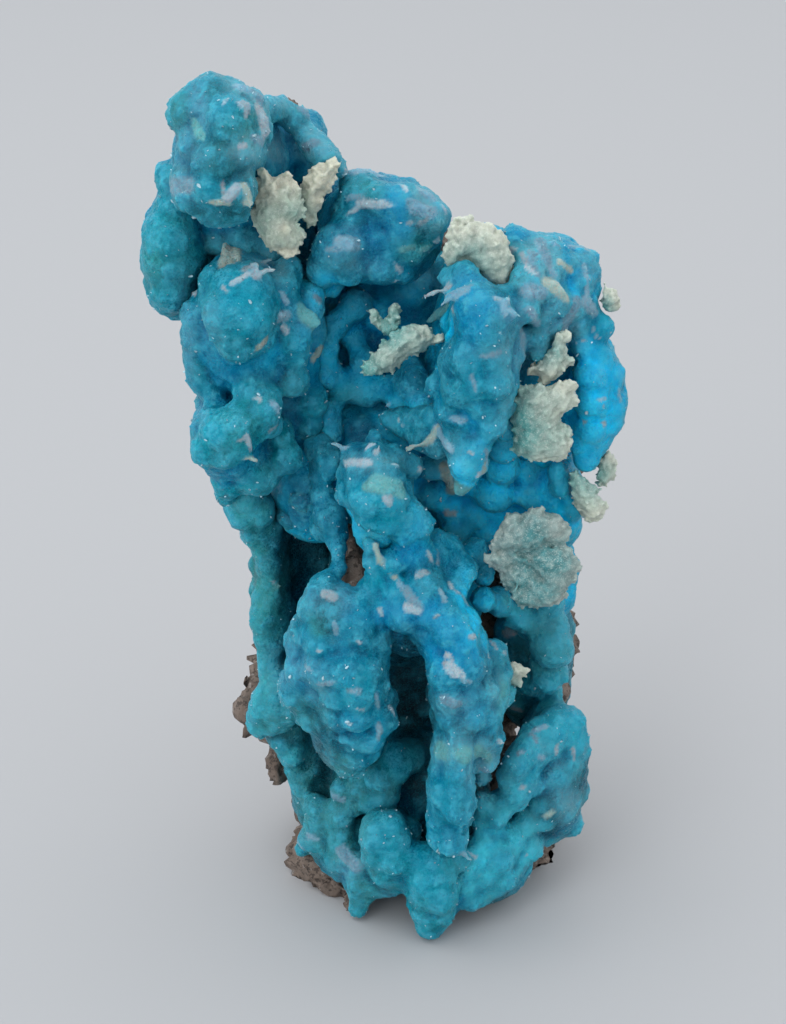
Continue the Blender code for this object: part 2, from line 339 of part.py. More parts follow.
# Single white blades fused to the crust: root x, z, depth, then tip x, z, depth, then width
WHITE_BLADES = [
    (-13.9, 61.0, -3.0, -13.9, 63.6, -3.6, 1.4),
    (-13.4, 59.8, -5.6, -11.0, 61.8, -5.8, 1.3),
    (-11.6, 60.4, -5.0, -9.2, 61.3, -4.6, 1.1),
    (-11.0, 73.2, -6.0, -12.2, 75.6, -6.6, 1.2),
    (-10.2, 72.2, -5.4, -10.6, 74.8, -6.2, 1.0),
    (-15.2, 66.8, -7.0, -12.6, 68.6, -8.8, 1.0),
    (-12.0, 66.0, -5.6, -12.0, 68.4, -6.6, 1.0),
    (5.6, 59.8, -5.4, 2.1, 58.4, -6.2, 0.8),
    (5.6, 57.8, -6.2, 3.0, 56.8, -7.4, 1.5),
    (4.6, 60.2, -4.6, 7.0, 59.8, -6.2, 0.9),
    (12.2, 61.8, -3.4, 14.7, 58.4, -5.2, 1.3),
    (13.9, 55.2, -4.0, 15.4, 58.2, -3.6, 1.1),
    (15.8, 58.8, -1.6, 17.2, 57.2, -2.4, 1.0),
    (-1.7, 36.8, -8.0, 0.4, 32.2, -9.0, 0.9),
    (3.4, 34.9, -7.2, 2.3, 32.3, -8.6, 0.9),
    (1.2, 31.0, -8.6, 2.5, 29.0, -10.2, 1.2),
    (4.8, 46.6, -5.6, 0.9, 44.5, -5.4, 0.9),
    (5.6, 43.6, -8.0, 5.0, 40.6, -9.0, 1.2),
    (6.6, 43.0, -8.0, 6.6, 39.8, -9.2, 1.2),
    (7.6, 45.0, -8.0, 8.4, 42.4, -8.8, 1.0),
    (-13.4, 43.2, -5.0, -11.6, 44.2, -5.2, 1.0),
    (-2.8, 44.0, -6.0, -0.9, 46.2, -5.4, 0.9),
]

# Pale clusters: each root (x, z, depth) with the tips of its blades (x, z, depth, width)
PALE_CLUSTERS = {
    "pale_cluster_crown": [
        ((-9.8, 65.6, -0.6), [
            (-11.0, 69.6, -3.6, 3.0), (-8.8, 69.6, -4.2, 3.0), (-7.3, 66.8, -5.4, 3.0),
            (-7.3, 64.2, -4.4, 2.6), (-8.4, 62.0, -3.2, 2.6), (-10.6, 63.0, -3.4, 2.6),
            (-12.1, 66.2, -3.4, 3.2), (-9.6, 66.8, -6.6, 3.6),
        ]),
        ((-7.2, 67.8, 0.6), [
            (-4.3, 70.6, -1.2, 2.6), (-6.3, 70.2, -2.2, 2.6), (-5.0, 68.2, -1.6, 2.2),
            (-6.0, 66.0, -2.6, 2.2),
        ]),
    ],
    "pale_cluster_ridge": [
        ((7.2, 62.6, 0.6), [
            (4.4, 62.8, -2.0, 3.0), (5.2, 65.3, -2.0, 3.0), (7.2, 65.6, -2.4, 3.2),
            (9.3, 64.9, -2.4, 3.2), (10.1, 62.4, -3.0, 3.0), (9.7, 60.2, -4.0, 2.8),
            (8.6, 59.2, -5.0, 2.4), (6.9, 62.2, -5.2, 3.4),
        ]),
    ],
    "pale_blades_hollow": [
        ((0.8, 54.6, 1.2), [
            (-3.0, 52.4, -2.4, 2.4), (-1.8, 54.2, -2.8, 2.2), (1.0, 56.2, -3.0, 2.4),
            (4.6, 55.2, -3.2, 1.8), (1.6, 54.0, -3.8, 2.2), (-0.4, 52.8, -3.4, 2.0),
        ]),
        ((-0.2, 55.2, 1.6), [(-2.4, 57.6, -0.6, 0.9), (0.4, 58.6, -0.8, 1.3)]),
    ],
    "pale_cluster_shoulder": [
        ((13.4, 54.4, -2.0), [
            (12.4, 51.8, -5.6, 2.4), (13.8, 51.4, -5.4, 2.0), (15.5, 53.4, -4.4, 1.6),
            (14.4, 56.0, -4.8, 2.2), (14.4, 53.2, -5.8, 2.4),
        ]),
    ],
    "pale_cluster_middle": [
        ((12.6, 47.5, -2.0), [
            (10.8, 50.6, -6.0, 3.0), (12.9, 51.1, -6.2, 3.0), (15.5, 51.2, -5.6, 2.2),
            (16.0, 49.7, -5.4, 2.2), (14.6, 48.2, -6.8, 3.0), (15.6, 46.6, -5.4, 2.2),
            (15.2, 44.3, -5.0, 2.4), (12.8, 43.9, -5.4, 3.0), (10.4, 44.7, -5.0, 2.8),
            (10.6, 47.4, -6.0, 3.0),
        ]),
    ],
    "pale_cluster_side": [
        ((16.4, 41.2, 0.0), [
            (15.6, 42.9, -2.8, 2.0), (17.3, 42.0, -2.6, 2.0), (18.7, 39.9, -1.8, 2.0),
            (18.2, 38.2, -1.6, 2.0), (16.8, 38.8, -2.6, 1.8),
        ]),
    ],
    "pale_cluster_edge": [
        ((17.8, 43.4, 1.2), [
            (18.4, 44.9, -0.8, 1.8), (19.6, 43.8, -0.2, 2.2), (19.3, 42.0, -0.6, 2.0),
            (18.2, 41.4, -1.0, 1.6),
        ]),
    ],
    "pale_cluster_lower": [
        ((12.2, 36.6, -0.6), [
            (8.8, 36.4, -4.4, 3.2), (10.2, 39.0, -4.6, 3.2), (12.8, 39.4, -5.0, 3.4),
            (15.3, 38.4, -4.4, 3.2), (15.6, 36.4, -4.4, 2.8), (12.2, 36.8, -6.8, 4.0),
            (13.4, 33.4, -4.8, 3.6),
        ]),
        ((13.6, 33.0, -0.6), [
            (16.9, 33.6, -3.2, 3.2), (15.6, 30.6, -4.0, 3.2), (13.0, 29.4, -5.0, 3.4),
            (10.6, 30.6, -4.6, 2.6), (14.2, 33.0, -6.4, 3.8), (9.4, 33.8, -4.4, 2.8),
        ]),
    ],
    "pale_tuft_recess": [
        ((10.9, 20.6, -2.0), [
            (11.4, 24.0, -4.8, 2.2), (12.5, 23.4, -4.6, 2.0), (13.4, 20.3, -3.8, 2.2),
            (11.4, 22.0, -6.4, 2.4), (11.4, 17.8, -5.6, 2.4), (12.4, 18.8, -4.6, 2.2),
        ]),
    ],
    "pale_tip_corner": [
        ((17.2, 58.6, 0.8), [
            (18.5, 59.6, -1.0, 1.6), (19.3, 58.2, -0.8, 1.6), (18.2, 57.8, -1.4, 1.4),
        ]),
    ],
}

# Colours as red, green and blue from 0 to 1
ROCK_BROWN = (0.19, 0.13, 0.10)
CRUST_BLUE = (0.04, 0.36, 0.50)
PALE_CREAM = (0.50, 0.56, 0.48)

# Roughness from 0, which is a mirror, to 1
ROCK_DULLNESS = 0.9
CRUST_DULLNESS = 0.5
PALE_DULLNESS = 0.45


def seen(x, z, depth):
    """The point at this depth on the line of sight through (x, z) of the plane y = 0, in metres."""
    reach = (depth + EYE_DISTANCE) / EYE_DISTANCE
    right, back = CENTRE_SHIFT
    return Vector((x * reach + right, depth + back, EYE_HEIGHT + (z - EYE_HEIGHT) * reach)) * MM


def collection(name, helper=False):
    """A collection of the scene. A helper one holds cutters and stays out of the render."""
    made = bpy.data.collections.new(name)
    made.hide_render = helper
    bpy.context.scene.collection.children.link(made)
    return made


def add_object(name, mesh, where):
    made = bpy.data.objects.new(name, mesh)
    where.objects.link(made)
    return made


def object_from(name, shapes, where):
    """Turns a bmesh into an object with outward faces."""
    bmesh.ops.recalc_face_normals(shapes, faces=shapes.faces)
    mesh = bpy.data.meshes.new(name)
    shapes.to_mesh(mesh)
    shapes.free()
    return add_object(name, mesh, where)


def add_ball(shapes, centre, radii):
    place = Matrix.Translation(centre) @ Matrix.Diagonal((*radii, 1.0))
    bmesh.ops.create_icosphere(shapes, subdivisions=BALL_DETAIL, radius=1.0, matrix=place)


def bake(obj):
    """Replaces an object's mesh by what its modifiers make of it."""
    graph = bpy.context.evaluated_depsgraph_get()
    baked = bpy.data.meshes.new_from_object(obj.evaluated_get(graph))
    obj.modifiers.clear()
    old = obj.data
    obj.data = baked
    bpy.data.meshes.remove(old)


def keep_largest(obj):
    """Deletes all but the body with the most points, such as bubbles sealed inside."""
    shapes = bmesh.new()
    shapes.from_mesh(obj.data)
    bodies = []
    seen_points = set()
    for start in shapes.verts:
        if start in seen_points:
            continue
        body = [start]
        seen_points.add(start)
        for point in body:
            for edge in point.link_edges:
                other = edge.other_vert(point)
                if other not in seen_points:
                    seen_points.add(other)
                    body.append(other)
        bodies.append(body)
    bodies.sort(key=len, reverse=True)
    loose = [point for body in bodies[1:] for point in body]
    bmesh.ops.delete(shapes, geom=loose, context="VERTS")
    shapes.to_mesh(obj.data)
    shapes.free()


def melt_together(obj, voxel):
    """Fuses overlapping shapes into one skin."""
    remesh = obj.modifiers.new("skin", "REMESH")
    remesh.mode = "VOXEL"
    remesh.voxel_size = voxel * MM
    bake(obj)
    keep_largest(obj)


def thin_out(obj, faces):
    """Lowers the number of triangles and keeps the shape."""
    thin = obj.modifiers.new("thin", "DECIMATE")
    thin.ratio = faces / (2.0 * len(obj.data.polygons))
    bake(obj)


def combine(obj, other, operation):
    """Joins another solid to this one, or cuts it away."""
    step = obj.modifiers.new(operation.lower(), "BOOLEAN")
    step.operation = operation
    step.solver = "EXACT"
    step.object = other
    bake(obj)


def make_material(name, colour, roughness):
    made = bpy.data.materials.new(name)
    made.use_nodes = True
    shader = made.node_tree.nodes["Principled BSDF"]
    shader.inputs["Base Color"].default_value = (*colour, 1.0)
    shader.inputs["Roughness"].default_value = roughness
    shader.inputs["Metallic"].default_value = 0.0
    return made


def make_rock(where):
    """The brown matrix: a broken slab with ribs."""
    shapes = bmesh.new()
    for x, z, depth, wide, deep, high in ROCK_LUMPS:
        add_ball(shapes, seen(x, z, depth), (wide * MM, deep * MM, high * MM))
    rock = object_from("matrix", shapes, where)
    melt_together(rock, ROCK_VOXEL)
    for point in rock.data.vertices:
        place = point.co / (ROCK_GRAIN * MM)
        swell = noise.noise(place) + FINE_GRAIN_SHARE * noise.noise(place / FINE_GRAIN_SHARE)
        point.co += point.normal * swell * ROCK_ROUGHNESS * MM
    thin_out(rock, ROCK_FACES)
    return rock


def make_ground_cutter(cutters):
    """The block below the base, which cuts the specimen off flat."""
    size = GROUND_BLOCK * MM
    shapes = bmesh.new()
    bmesh.ops.create_cube(shapes, size=size, matrix=Matrix.Translation((0.0, 0.0, -size / 2)))
    return object_from("below_base", shapes, cutters)


def add_blade(shapes, root, tip, width, roll=0.0):
    """A flat tapered crystal: narrow at its root, widest at its shoulder, with a chisel tip."""
    along = tip - root
    length = along.length
    facing = along.to_track_quat("Z", "Y").to_matrix().to_4x4() @ Matrix.Rotation(roll, 4, "Z")
    half = width / 2
    flat = Matrix.Diagonal((1.0, BLADE_THICKNESS, 1.0, 1.0))
    quarter = Matrix.Rotation(math.pi / BLADE_SIDES, 4, "Z")
    shoulder = length * BLADE_SHOULDER
    lift = Matrix.Translation((0.0, 0.0, shoulder / 2))
    place = Matrix.Translation(root) @ facing
    made = bmesh.ops.create_cone(
        shapes, cap_ends=True, segments=BLADE_SIDES, radius1=half * BLADE_ROOT, radius2=half,
        depth=shoulder, matrix=place @ flat @ quarter @ lift,
    )
    faces = {face for point in made["verts"] for face in point.link_faces}
    top = max(faces, key=lambda face: (face.calc_center_median() - root).dot(along))
    ends = bmesh.ops.extrude_face_region(shapes, geom=[top])["geom"]
    points = [part for part in ends if isinstance(part, bmesh.types.BMVert)]
    bmesh.ops.delete(shapes, geom=[top], context="FACES_ONLY")
    middle = sum((point.co for point in points), Vector()) / len(points)
    for point in points:
        point.co = middle + (point.co - middle) * BLADE_TIP + along.normalized() * (length - shoulder)


def spread_root(root, number):
    """The root of one blade of a cluster, a little aside from its neighbours' roots."""
    turn = number * ROOT_TURN
    aside = Vector((math.cos(turn), ROOT_SWAY * math.sin(turn + turn), math.sin(turn)))
    return seen(*root) + aside * ROOT_SPREAD * MM


def make_cluster(name, groups, where):
    """One solid of blades that grow round a rounded heart at each of the cluster's roots."""
    pieces = []
    for root, tips in groups:
        places = [seen(*tip[0:3]) for tip in tips]
        middle = sum(places, Vector()) / len(places)
        if len(tips) >= HEART_BLADES:
            shapes = bmesh.new()
            heart = (middle - seen(*root)).length * HEART_SIZE
            add_ball(shapes, seen(*root).lerp(middle, HEART_SIZE), (heart, heart, heart))
            pieces.append(object_from(f"{name}_heart", shapes, where))
        for number, tip in enumerate(tips):
            shapes = bmesh.new()
            roll = number * BLADE_ROLL
            add_blade(shapes, spread_root(root, number), places[number], tip[3] * MM, roll)
            pieces.append(object_from(f"{name}_{number}", shapes, where))
    cluster = pieces[0]
    cluster.name = name
    for piece in pieces[1:]:
        combine(cluster, piece, "UNION")
        bpy.data.objects.remove(piece)
    keep_largest(cluster)
    thin_out(cluster, BLADE_FACES * len(pieces))
    return cluster


def grown_copy(obj, growth, cutters):
    """A copy of a solid with its faces moved out."""
    grown = add_object(f"{obj.name}_socket", obj.data.copy(), cutters)
    grow = grown.modifiers.new("grow", "DISPLACE")
    grow.mid_level = 0.0
    grow.strength = growth * MM
    bake(grown)
    return grown


def make_nest_cutter(cluster, cutters):
    """A cluster grown by the gap, with the folds in its creases melted away."""
    cutter = grown_copy(cluster, GAP + SOCKET_ALLOWANCE, cutters)
    melt_together(cutter, SOCKET_VOXEL)
    thin_out(cutter, len(cluster.data.polygons))
    return cutter


def make_crust(where, cutters, ground, rock_sockets):
    """The blue crust: lumps melted together, with white blades fused on, fitted round the rock."""
    shapes = bmesh.new()
    for x, z, depth, wide, deep, high in CRUST_MASSES:
        add_ball(shapes, seen(x, z, depth), (wide * MM, deep * MM, high * MM))
    for x, z, depth, radius in CRUST_LUMPS:
        behind = radius * (LUMP_DEPTH - 1.0)
        add_ball(shapes, seen(x, z, depth) + Vector((0.0, behind * MM, 0.0)),
                 (radius * MM, radius * LUMP_DEPTH * MM, radius * MM))
    crust = object_from("blue_crust", shapes, where)
    melt_together(crust, CRUST_VOXEL)
    thin_out(crust, CRUST_FACES)
    for number, blade in enumerate(WHITE_BLADES):
        shapes = bmesh.new()
        add_blade(shapes, seen(*blade[0:3]), seen(*blade[3:6]), blade[6] * MM)
        single = object_from(f"white_blade_{number}", shapes, cutters)
        combine(crust, single, "UNION")
        bpy.data.objects.remove(single)
    combine(crust, ground, "DIFFERENCE")
    for socket in rock_sockets:
        combine(crust, socket, "DIFFERENCE")
    return crust


def build():
    for obj in list(bpy.data.objects):
        bpy.data.objects.remove(obj)
    specimen = collection("hemimorphite_specimen")
    cutters = collection("cutters", helper=True)
    ground = make_ground_cutter(cutters)
    rock = make_rock(specimen)
    growths = (GAP + SOCKET_ALLOWANCE, CREASE_GAP)
    rock_sockets = [grown_copy(rock, growth, cutters) for growth in growths]
    combine(rock, ground, "DIFFERENCE")
    rock.data.materials.append(make_material("brown_rock", ROCK_BROWN, ROCK_DULLNESS))
    crust = make_crust(specimen, cutters, ground, rock_sockets)
    pale = make_material("pale_crystal", PALE_CREAM, PALE_DULLNESS)
    for name, groups in PALE_CLUSTERS.items():
        cluster = make_cluster(name, groups, specimen)
        cluster.data.materials.append(pale)
        combine(crust, make_nest_cutter(cluster, cutters), "DIFFERENCE")
    keep_largest(crust)
    crust.data.materials.append(make_material("blue_crust", CRUST_BLUE, CRUST_DULLNESS))
    for helper in cutters.objects:
        helper.hide_render = True
        helper.display_type = "WIRE"


build()
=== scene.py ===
import math

import bpy
import numpy as np
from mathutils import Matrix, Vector
from mathutils.kdtree import KDTree


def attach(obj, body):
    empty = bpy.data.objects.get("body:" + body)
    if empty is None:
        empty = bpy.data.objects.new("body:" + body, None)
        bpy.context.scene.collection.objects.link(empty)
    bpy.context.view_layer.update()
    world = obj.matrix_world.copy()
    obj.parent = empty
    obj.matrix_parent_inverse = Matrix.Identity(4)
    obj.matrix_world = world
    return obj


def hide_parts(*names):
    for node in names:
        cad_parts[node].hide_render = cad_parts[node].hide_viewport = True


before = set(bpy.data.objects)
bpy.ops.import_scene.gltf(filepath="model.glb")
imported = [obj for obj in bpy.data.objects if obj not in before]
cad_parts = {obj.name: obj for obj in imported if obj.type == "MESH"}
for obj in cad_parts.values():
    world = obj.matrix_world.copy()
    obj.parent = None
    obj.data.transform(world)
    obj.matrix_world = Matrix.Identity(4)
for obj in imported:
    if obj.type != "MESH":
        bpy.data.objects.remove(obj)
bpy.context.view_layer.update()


# The studio: a pale table, soft light from above and from the front left, and the viewing point
# of the photograph, which is about 150 mm in front of the specimen and looks down on it.
SIGHT = 0.1476
EYE = np.array([0.00037, -0.14903, 0.10345])
LOOK_DOWN = math.radians(23.6)
PALE_TABLE = (0.415, 0.418, 0.428)


def soft_panel(name, place, target, size, power, colour):
    """A square light panel that faces the target."""
    light = bpy.data.lights.new(name, "AREA")
    light.size = size
    light.energy = power
    light.color = colour
    panel = bpy.data.objects.new(name, light)
    panel.location = place
    panel.rotation_euler = (Vector(target) - Vector(place)).to_track_quat("-Z", "Y").to_euler()
    bpy.context.scene.collection.objects.link(panel)


camera = bpy.data.objects.new("viewpoint", bpy.data.cameras.new("viewpoint"))
camera.data.lens = 63.98
camera.data.sensor_width = 36.0
camera.data.clip_start = 0.01
camera.location = EYE
camera.rotation_euler = (math.pi / 2 - LOOK_DOWN, 0.0, 0.0)
bpy.context.scene.collection.objects.link(camera)
bpy.context.scene.camera = camera

soft_panel("high_panel", (-0.30, -0.25, 1.10), (0.0, 0.0, 0.04), 0.80, 3.8, (1.0, 1.0, 1.0))
soft_panel("front_panel", (-0.60, -0.80, 0.45), (0.0, 0.0, 0.04), 0.60, 3.0, (0.97, 0.99, 1.0))

world = bpy.data.worlds.new("soft_surround")
world.use_nodes = True
world.node_tree.nodes["Background"].inputs["Color"].default_value = (0.80, 0.83, 0.86, 1.0)
world.node_tree.nodes["Background"].inputs["Strength"].default_value = 1.30
bpy.context.scene.world = world
bpy.context.scene.view_settings.view_transform = "Standard"

table_mesh = bpy.data.meshes.new("table")
table_mesh.from_pydata([(-3, -3, 0), (3, -3, 0), (3, 3, 0), (-3, 3, 0)], [], [(0, 1, 2, 3)])
table = bpy.data.objects.new("table", table_mesh)
bpy.context.scene.collection.objects.link(table)
table_finish = bpy.data.materials.new("pale_table")
table_finish.use_nodes = True
table_shader = table_finish.node_tree.nodes["Principled BSDF"]
table_shader.inputs["Base Color"].default_value = (*PALE_TABLE, 1.0)
table_shader.inputs["Roughness"].default_value = 0.7
table_mesh.materials.append(table_finish)


# The brown matrix: a broken slab of weathered rock with ribs. It carries everything that grows
# on it, is cut off flat below, and shows at the edges and between the blue fingers.
ROCK_LUMPS = np.array([
    (-13.0, 69.5, 10.5, 4.2, 3.6, 6.5),
    (-9.2, 72.2, 8.6, 3.5, 2.6, 3.6),
    (-9.5, 60.0, 12.0, 7.5, 3.8, 9.0),
    (-1.0, 62.5, 12.0, 6.5, 3.6, 6.5),
    (7.5, 59.0, 11.0, 6.5, 3.8, 5.5),
    (13.5, 54.0, 10.0, 5.0, 3.8, 7.5),
    (1.5, 50.0, 13.5, 13.0, 3.0, 12.0),
    (-11.5, 47.0, 11.5, 4.5, 3.6, 8.0),
    (13.0, 42.0, 10.5, 4.0, 3.6, 7.0),
    (3.0, 36.0, 13.0, 11.5, 3.4, 11.0),
    (-9.0, 35.0, 12.5, 3.5, 3.0, 9.0),
    (-3.4, 34.2, 2.0, 1.5, 8.0, 3.1),
    (1.0, 22.0, 12.0, 12.5, 3.8, 12.0),
    (-10.5, 20.5, 8.0, 3.2, 4.6, 6.0),
    (-13.3, 18.7, 2.6, 1.5, 2.8, 1.9),
    (-10.6, 13.4, 4.4, 1.6, 3.2, 2.4),
    (12.5, 25.0, 10.8, 4.6, 3.2, 8.0),
    (15.4, 28.2, 5.0, 1.6, 3.2, 3.0),
    (15.0, 21.0, 6.4, 1.5, 2.4, 2.2),
    (3.0, 9.0, 9.5, 13.5, 5.0, 11.0),
    (-5.5, 3.0, 3.5, 5.0, 6.0, 5.0),
    (-7.6, 1.4, -0.2, 1.9, 2.4, 1.9),
    (-6.0, 0.3, -1.6, 1.6, 2.0, 1.6),
    (-4.0, -2.6, -4.4, 0.8, 1.8, 1.9),
    (10.0, 3.0, 5.0, 6.0, 5.0, 5.5),
    (-4.5, 57.1, 12.9, 3.2, 3.0, 3.4), (-6.9, 40.6, 10.9, 2.6, 2.6, 2.8),
    (-2.4, 55.6, 13.5, 5.6, 3.6, 6.2),
])
ROCK_VOXEL = 0.00055
ROCK_FACET = 0.0032
ROCK_CHIP = 0.0012
MM = 0.001


def seen(x, z, depth):
    """Places in metres from millimetres: the line of sight through (x, z) of the upright middle
    plane meets the plane y = depth at eye + (point - eye) * (depth + sight) / sight."""
    reach = 1.0 + depth * MM / SIGHT
    return np.stack([EYE[0] + x * MM * reach, EYE[1] + SIGHT * reach,
                     EYE[2] + (z * MM - EYE[2]) * reach], axis=-1)


def ovals(centres, radii, around=14, rows=8):
    """Rounded lumps on a grid of two angles: centre + radii * (sin p cos t, sin p sin t, cos p),
    with t once round and p from pole to pole. Gives the rings as (lump, row, point, xyz)."""
    t = np.arange(around) * 2 * np.pi / around
    p = np.linspace(0.0, np.pi, rows)[:, None]
    unit = np.stack([np.sin(p) * np.cos(t), np.sin(p) * np.sin(t), np.cos(p) + 0.0 * t], axis=-1)
    return centres[:, None, None, :] + radii[:, None, None, :] * unit


def ring_faces(count, rows, around):
    """The four-sided faces between neighbouring rings of each shape."""
    start = np.arange(count)[:, None, None] * rows * around
    row = np.arange(rows - 1)[None, :, None] * around
    step = np.arange(around)[None, None, :]
    after = (step + 1) % around
    a, b = start + row + step, start + row + after
    return np.stack([a, a + around, b + around, b], axis=-1).reshape(-1, 4)


def mesh_of(name, points, faces):
    """A mesh from whole arrays: the points, then one array of faces for each number of corners."""
    mesh = bpy.data.meshes.new(name)
    corners = np.concatenate([group.ravel() for group in faces])
    sizes = np.concatenate([np.full(len(group), group.shape[1]) for group in faces])
    mesh.vertices.add(len(points))
    mesh.vertices.foreach_set("co", np.asarray(points, np.float32).ravel())
    mesh.loops.add(len(corners))
    mesh.loops.foreach_set("vertex_index", corners.astype(np.int32))
    mesh.polygons.add(len(sizes))
    mesh.polygons.foreach_set("loop_start", (np.cumsum(sizes) - sizes).astype(np.int32))
    mesh.update(calc_edges=True)
    return mesh


def read_points(mesh):
    points = np.empty(len(mesh.vertices) * 3, np.float32)
    mesh.vertices.foreach_get("co", points)
    return points.reshape(-1, 3).astype(float)


def write_points(mesh, points):
    mesh.vertices.foreach_set("co", points.astype(np.float32).ravel())
    mesh.update()


def read_normals(mesh):
    normals = np.empty(len(mesh.vertices) * 3, np.float32)
    mesh.vertex_normals.foreach_get("vector", normals)
    return normals.reshape(-1, 3).astype(float)


def read_edges(mesh):
    edges = np.empty(len(mesh.edges) * 2, np.int32)
    mesh.edges.foreach_get("vertices", edges)
    return edges.reshape(-1, 2)


def whole_bodies(count, edges):
    """Which points belong to a body with at least a fiftieth of the points, so that bubbles drop
    out: each point takes the lowest number among its neighbours' until nothing changes."""
    label = np.arange(count)
    while True:
        low = np.minimum(label[edges[:, 0]], label[edges[:, 1]])
        new = label.copy()
        np.minimum.at(new, edges[:, 0], low)
        np.minimum.at(new, edges[:, 1], low)
        new = new[new]
        if (new == label).all():
            break
        label = new
    return np.bincount(label, minlength=count)[label] > count / 50


def skin_over(name, shapes, voxel):
    """One closed skin over overlapping ringed shapes, as an object with its points in place."""
    points, faces, start = [], [], 0
    for rings in shapes:
        count, rows, around = rings.shape[:3]
        points.append(rings.reshape(-1, 3))
        faces.append(ring_faces(count, rows, around) + start)
        start += count * rows * around
    rough = bpy.data.objects.new(name, mesh_of(name, np.concatenate(points), faces))
    bpy.context.scene.collection.objects.link(rough)
    remesh = rough.modifiers.new("skin", "REMESH")
    remesh.mode = "VOXEL"
    remesh.voxel_size = voxel
    graph = bpy.context.evaluated_depsgraph_get()
    skin = bpy.data.meshes.new_from_object(rough.evaluated_get(graph))
    rough.modifiers.clear()
    kept = whole_bodies(len(skin.vertices), read_edges(skin))
    corners = np.empty(len(skin.loops), np.int32)
    skin.loops.foreach_get("vertex_index", corners)
    quads = corners.reshape(-1, 4)
    quads = quads[kept[quads[:, 0]]]
    number = np.cumsum(kept) - 1
    rough.data = mesh_of(name, read_points(skin)[kept], [number[quads]])
    return rough


def random_heights(corner, seed):
    """A fixed random number from -1 to 1 for each whole-numbered place."""
    mixed = (corner[..., 0] * 374761393 + corner[..., 1] * 668265263
             + corner[..., 2] * 2147483647 + seed * 974634777) & 0xFFFFFFFF
    mixed = ((mixed ^ (mixed >> 13)) * 1274126177) & 0xFFFFFFFF
    mixed = ((mixed ^ (mixed >> 16)) * 2246822519) & 0xFFFFFFFF
    return (mixed ^ (mixed >> 15)) / 2147483647.5 - 1.0


def swell(points, cell, seed):
    """Smooth random heights from -1 to 1: each cube of this size has a random height at its
    corners, blended along each side by 3t^2 - 2t^3."""
    place = points / cell
    corner = np.floor(place).astype(np.int64)
    t = place - corner
    t = t * t * (3.0 - 2.0 * t)
    total = np.zeros(len(points))
    for step in np.ndindex(2, 2, 2):
        weight = np.prod(np.where(np.array(step) == 1, t, 1.0 - t), axis=1)
        total += weight * random_heights(corner + np.array(step), seed)
    return total


def tilted_facets(points, cell, seed):
    """Flat random facets: within each random cell of this size the height is a tilted plane
    through the cell's centre, (point - centre) . tilt, from about -0.5 to 0.5. Also gives each
    cell's own random number from -1 to 1."""
    place = points / cell
    corner = np.floor(place).astype(np.int64)
    nearest = np.full(len(points), 9.0)
    height, own = np.zeros(len(points)), np.zeros(len(points))
    for step in np.ndindex(3, 3, 3):
        cube = corner + np.array(step) - 1
        away = place - cube - 0.5 - 0.45 * np.stack(
            [random_heights(cube, seed + k) for k in range(3)], axis=-1)
        tilt = np.stack([random_heights(cube, seed + 3 + k) for k in range(3)], axis=-1)
        closer = (away ** 2).sum(axis=1) < nearest
        nearest = np.where(closer, (away ** 2).sum(axis=1), nearest)
        height = np.where(closer, (away * tilt).sum(axis=1), height)
        own = np.where(closer, random_heights(cube, seed + 6), own)
    return height, own


def move_points(obj, heights):
    """Moves each point along its normal, and then flattens what lies below the base."""
    mesh = obj.data
    points = read_points(mesh) + read_normals(mesh) * heights[:, None]
    points[:, 2] = np.maximum(points[:, 2], 0.0)
    write_points(mesh, points)


class Finish:
    """A value in a material's node tree. Sums and products of such values add Math nodes."""

    def __init__(self, tree, socket):
        self.tree = tree
        self.socket = socket

    def node(self, kind, settings=None, sockets=None, output=0):
        """Adds a node: first its settings, then the values or links of its sockets."""
        made = self.tree.nodes.new(kind)
        for name, value in (settings or {}).items():
            setattr(made, name, value)
        for name, value in (sockets or {}).items():
            if isinstance(value, Finish):
                self.tree.links.new(value.socket, made.inputs[name])
            else:
                made.inputs[name].default_value = value
        return Finish(self.tree, made.outputs[output])

    def maths(self, operation, *values):
        return self.node("ShaderNodeMath", {"operation": operation}, dict(enumerate(values)))

    def __add__(self, other):
        return self.maths("ADD", self, other)

    def __mul__(self, other):
        return self.maths("MULTIPLY", self, other)

    def steps(self, low, high):
        """0 below low, 1 above high, and smooth between them."""
        return self.node("ShaderNodeMapRange", {"interpolation_type": "SMOOTHSTEP"},
                         {"Value": self, "From Min": low, "From Max": high})

    def mixed(self, first, second):
        """The first colour where this value is 0, the second where it is 1."""
        made = self.node("ShaderNodeMix", {"data_type": "RGBA"}, {0: self})
        inputs = made.socket.node.inputs
        for socket, value in ((inputs[6], first), (inputs[7], second)):
            if isinstance(value, Finish):
                self.tree.links.new(value.socket, socket)
            else:
                socket.default_value = (*value, 1.0)
        return Finish(self.tree, made.socket.node.outputs[2])

    def speckle(self, size, detail=2.0):
        """Soft random patches of about this size, in metres."""
        return self.node("ShaderNodeTexNoise", None, {
            "Vector": self, "Scale": 1.0 / size, "Detail": detail, "Roughness": 0.6})


def start_finish(name, values):
    """A material with fixed values on its shader. Gives it, its place pattern and its shader."""
    material = bpy.data.materials.new(name)
    material.use_nodes = True
    tree = material.node_tree
    shader = tree.nodes["Principled BSDF"]
    for socket, value in values.items():
        shader.inputs[socket].default_value = value
    place = Finish(tree, None).node("ShaderNodeTexCoord", output=3)
    return material, place, shader


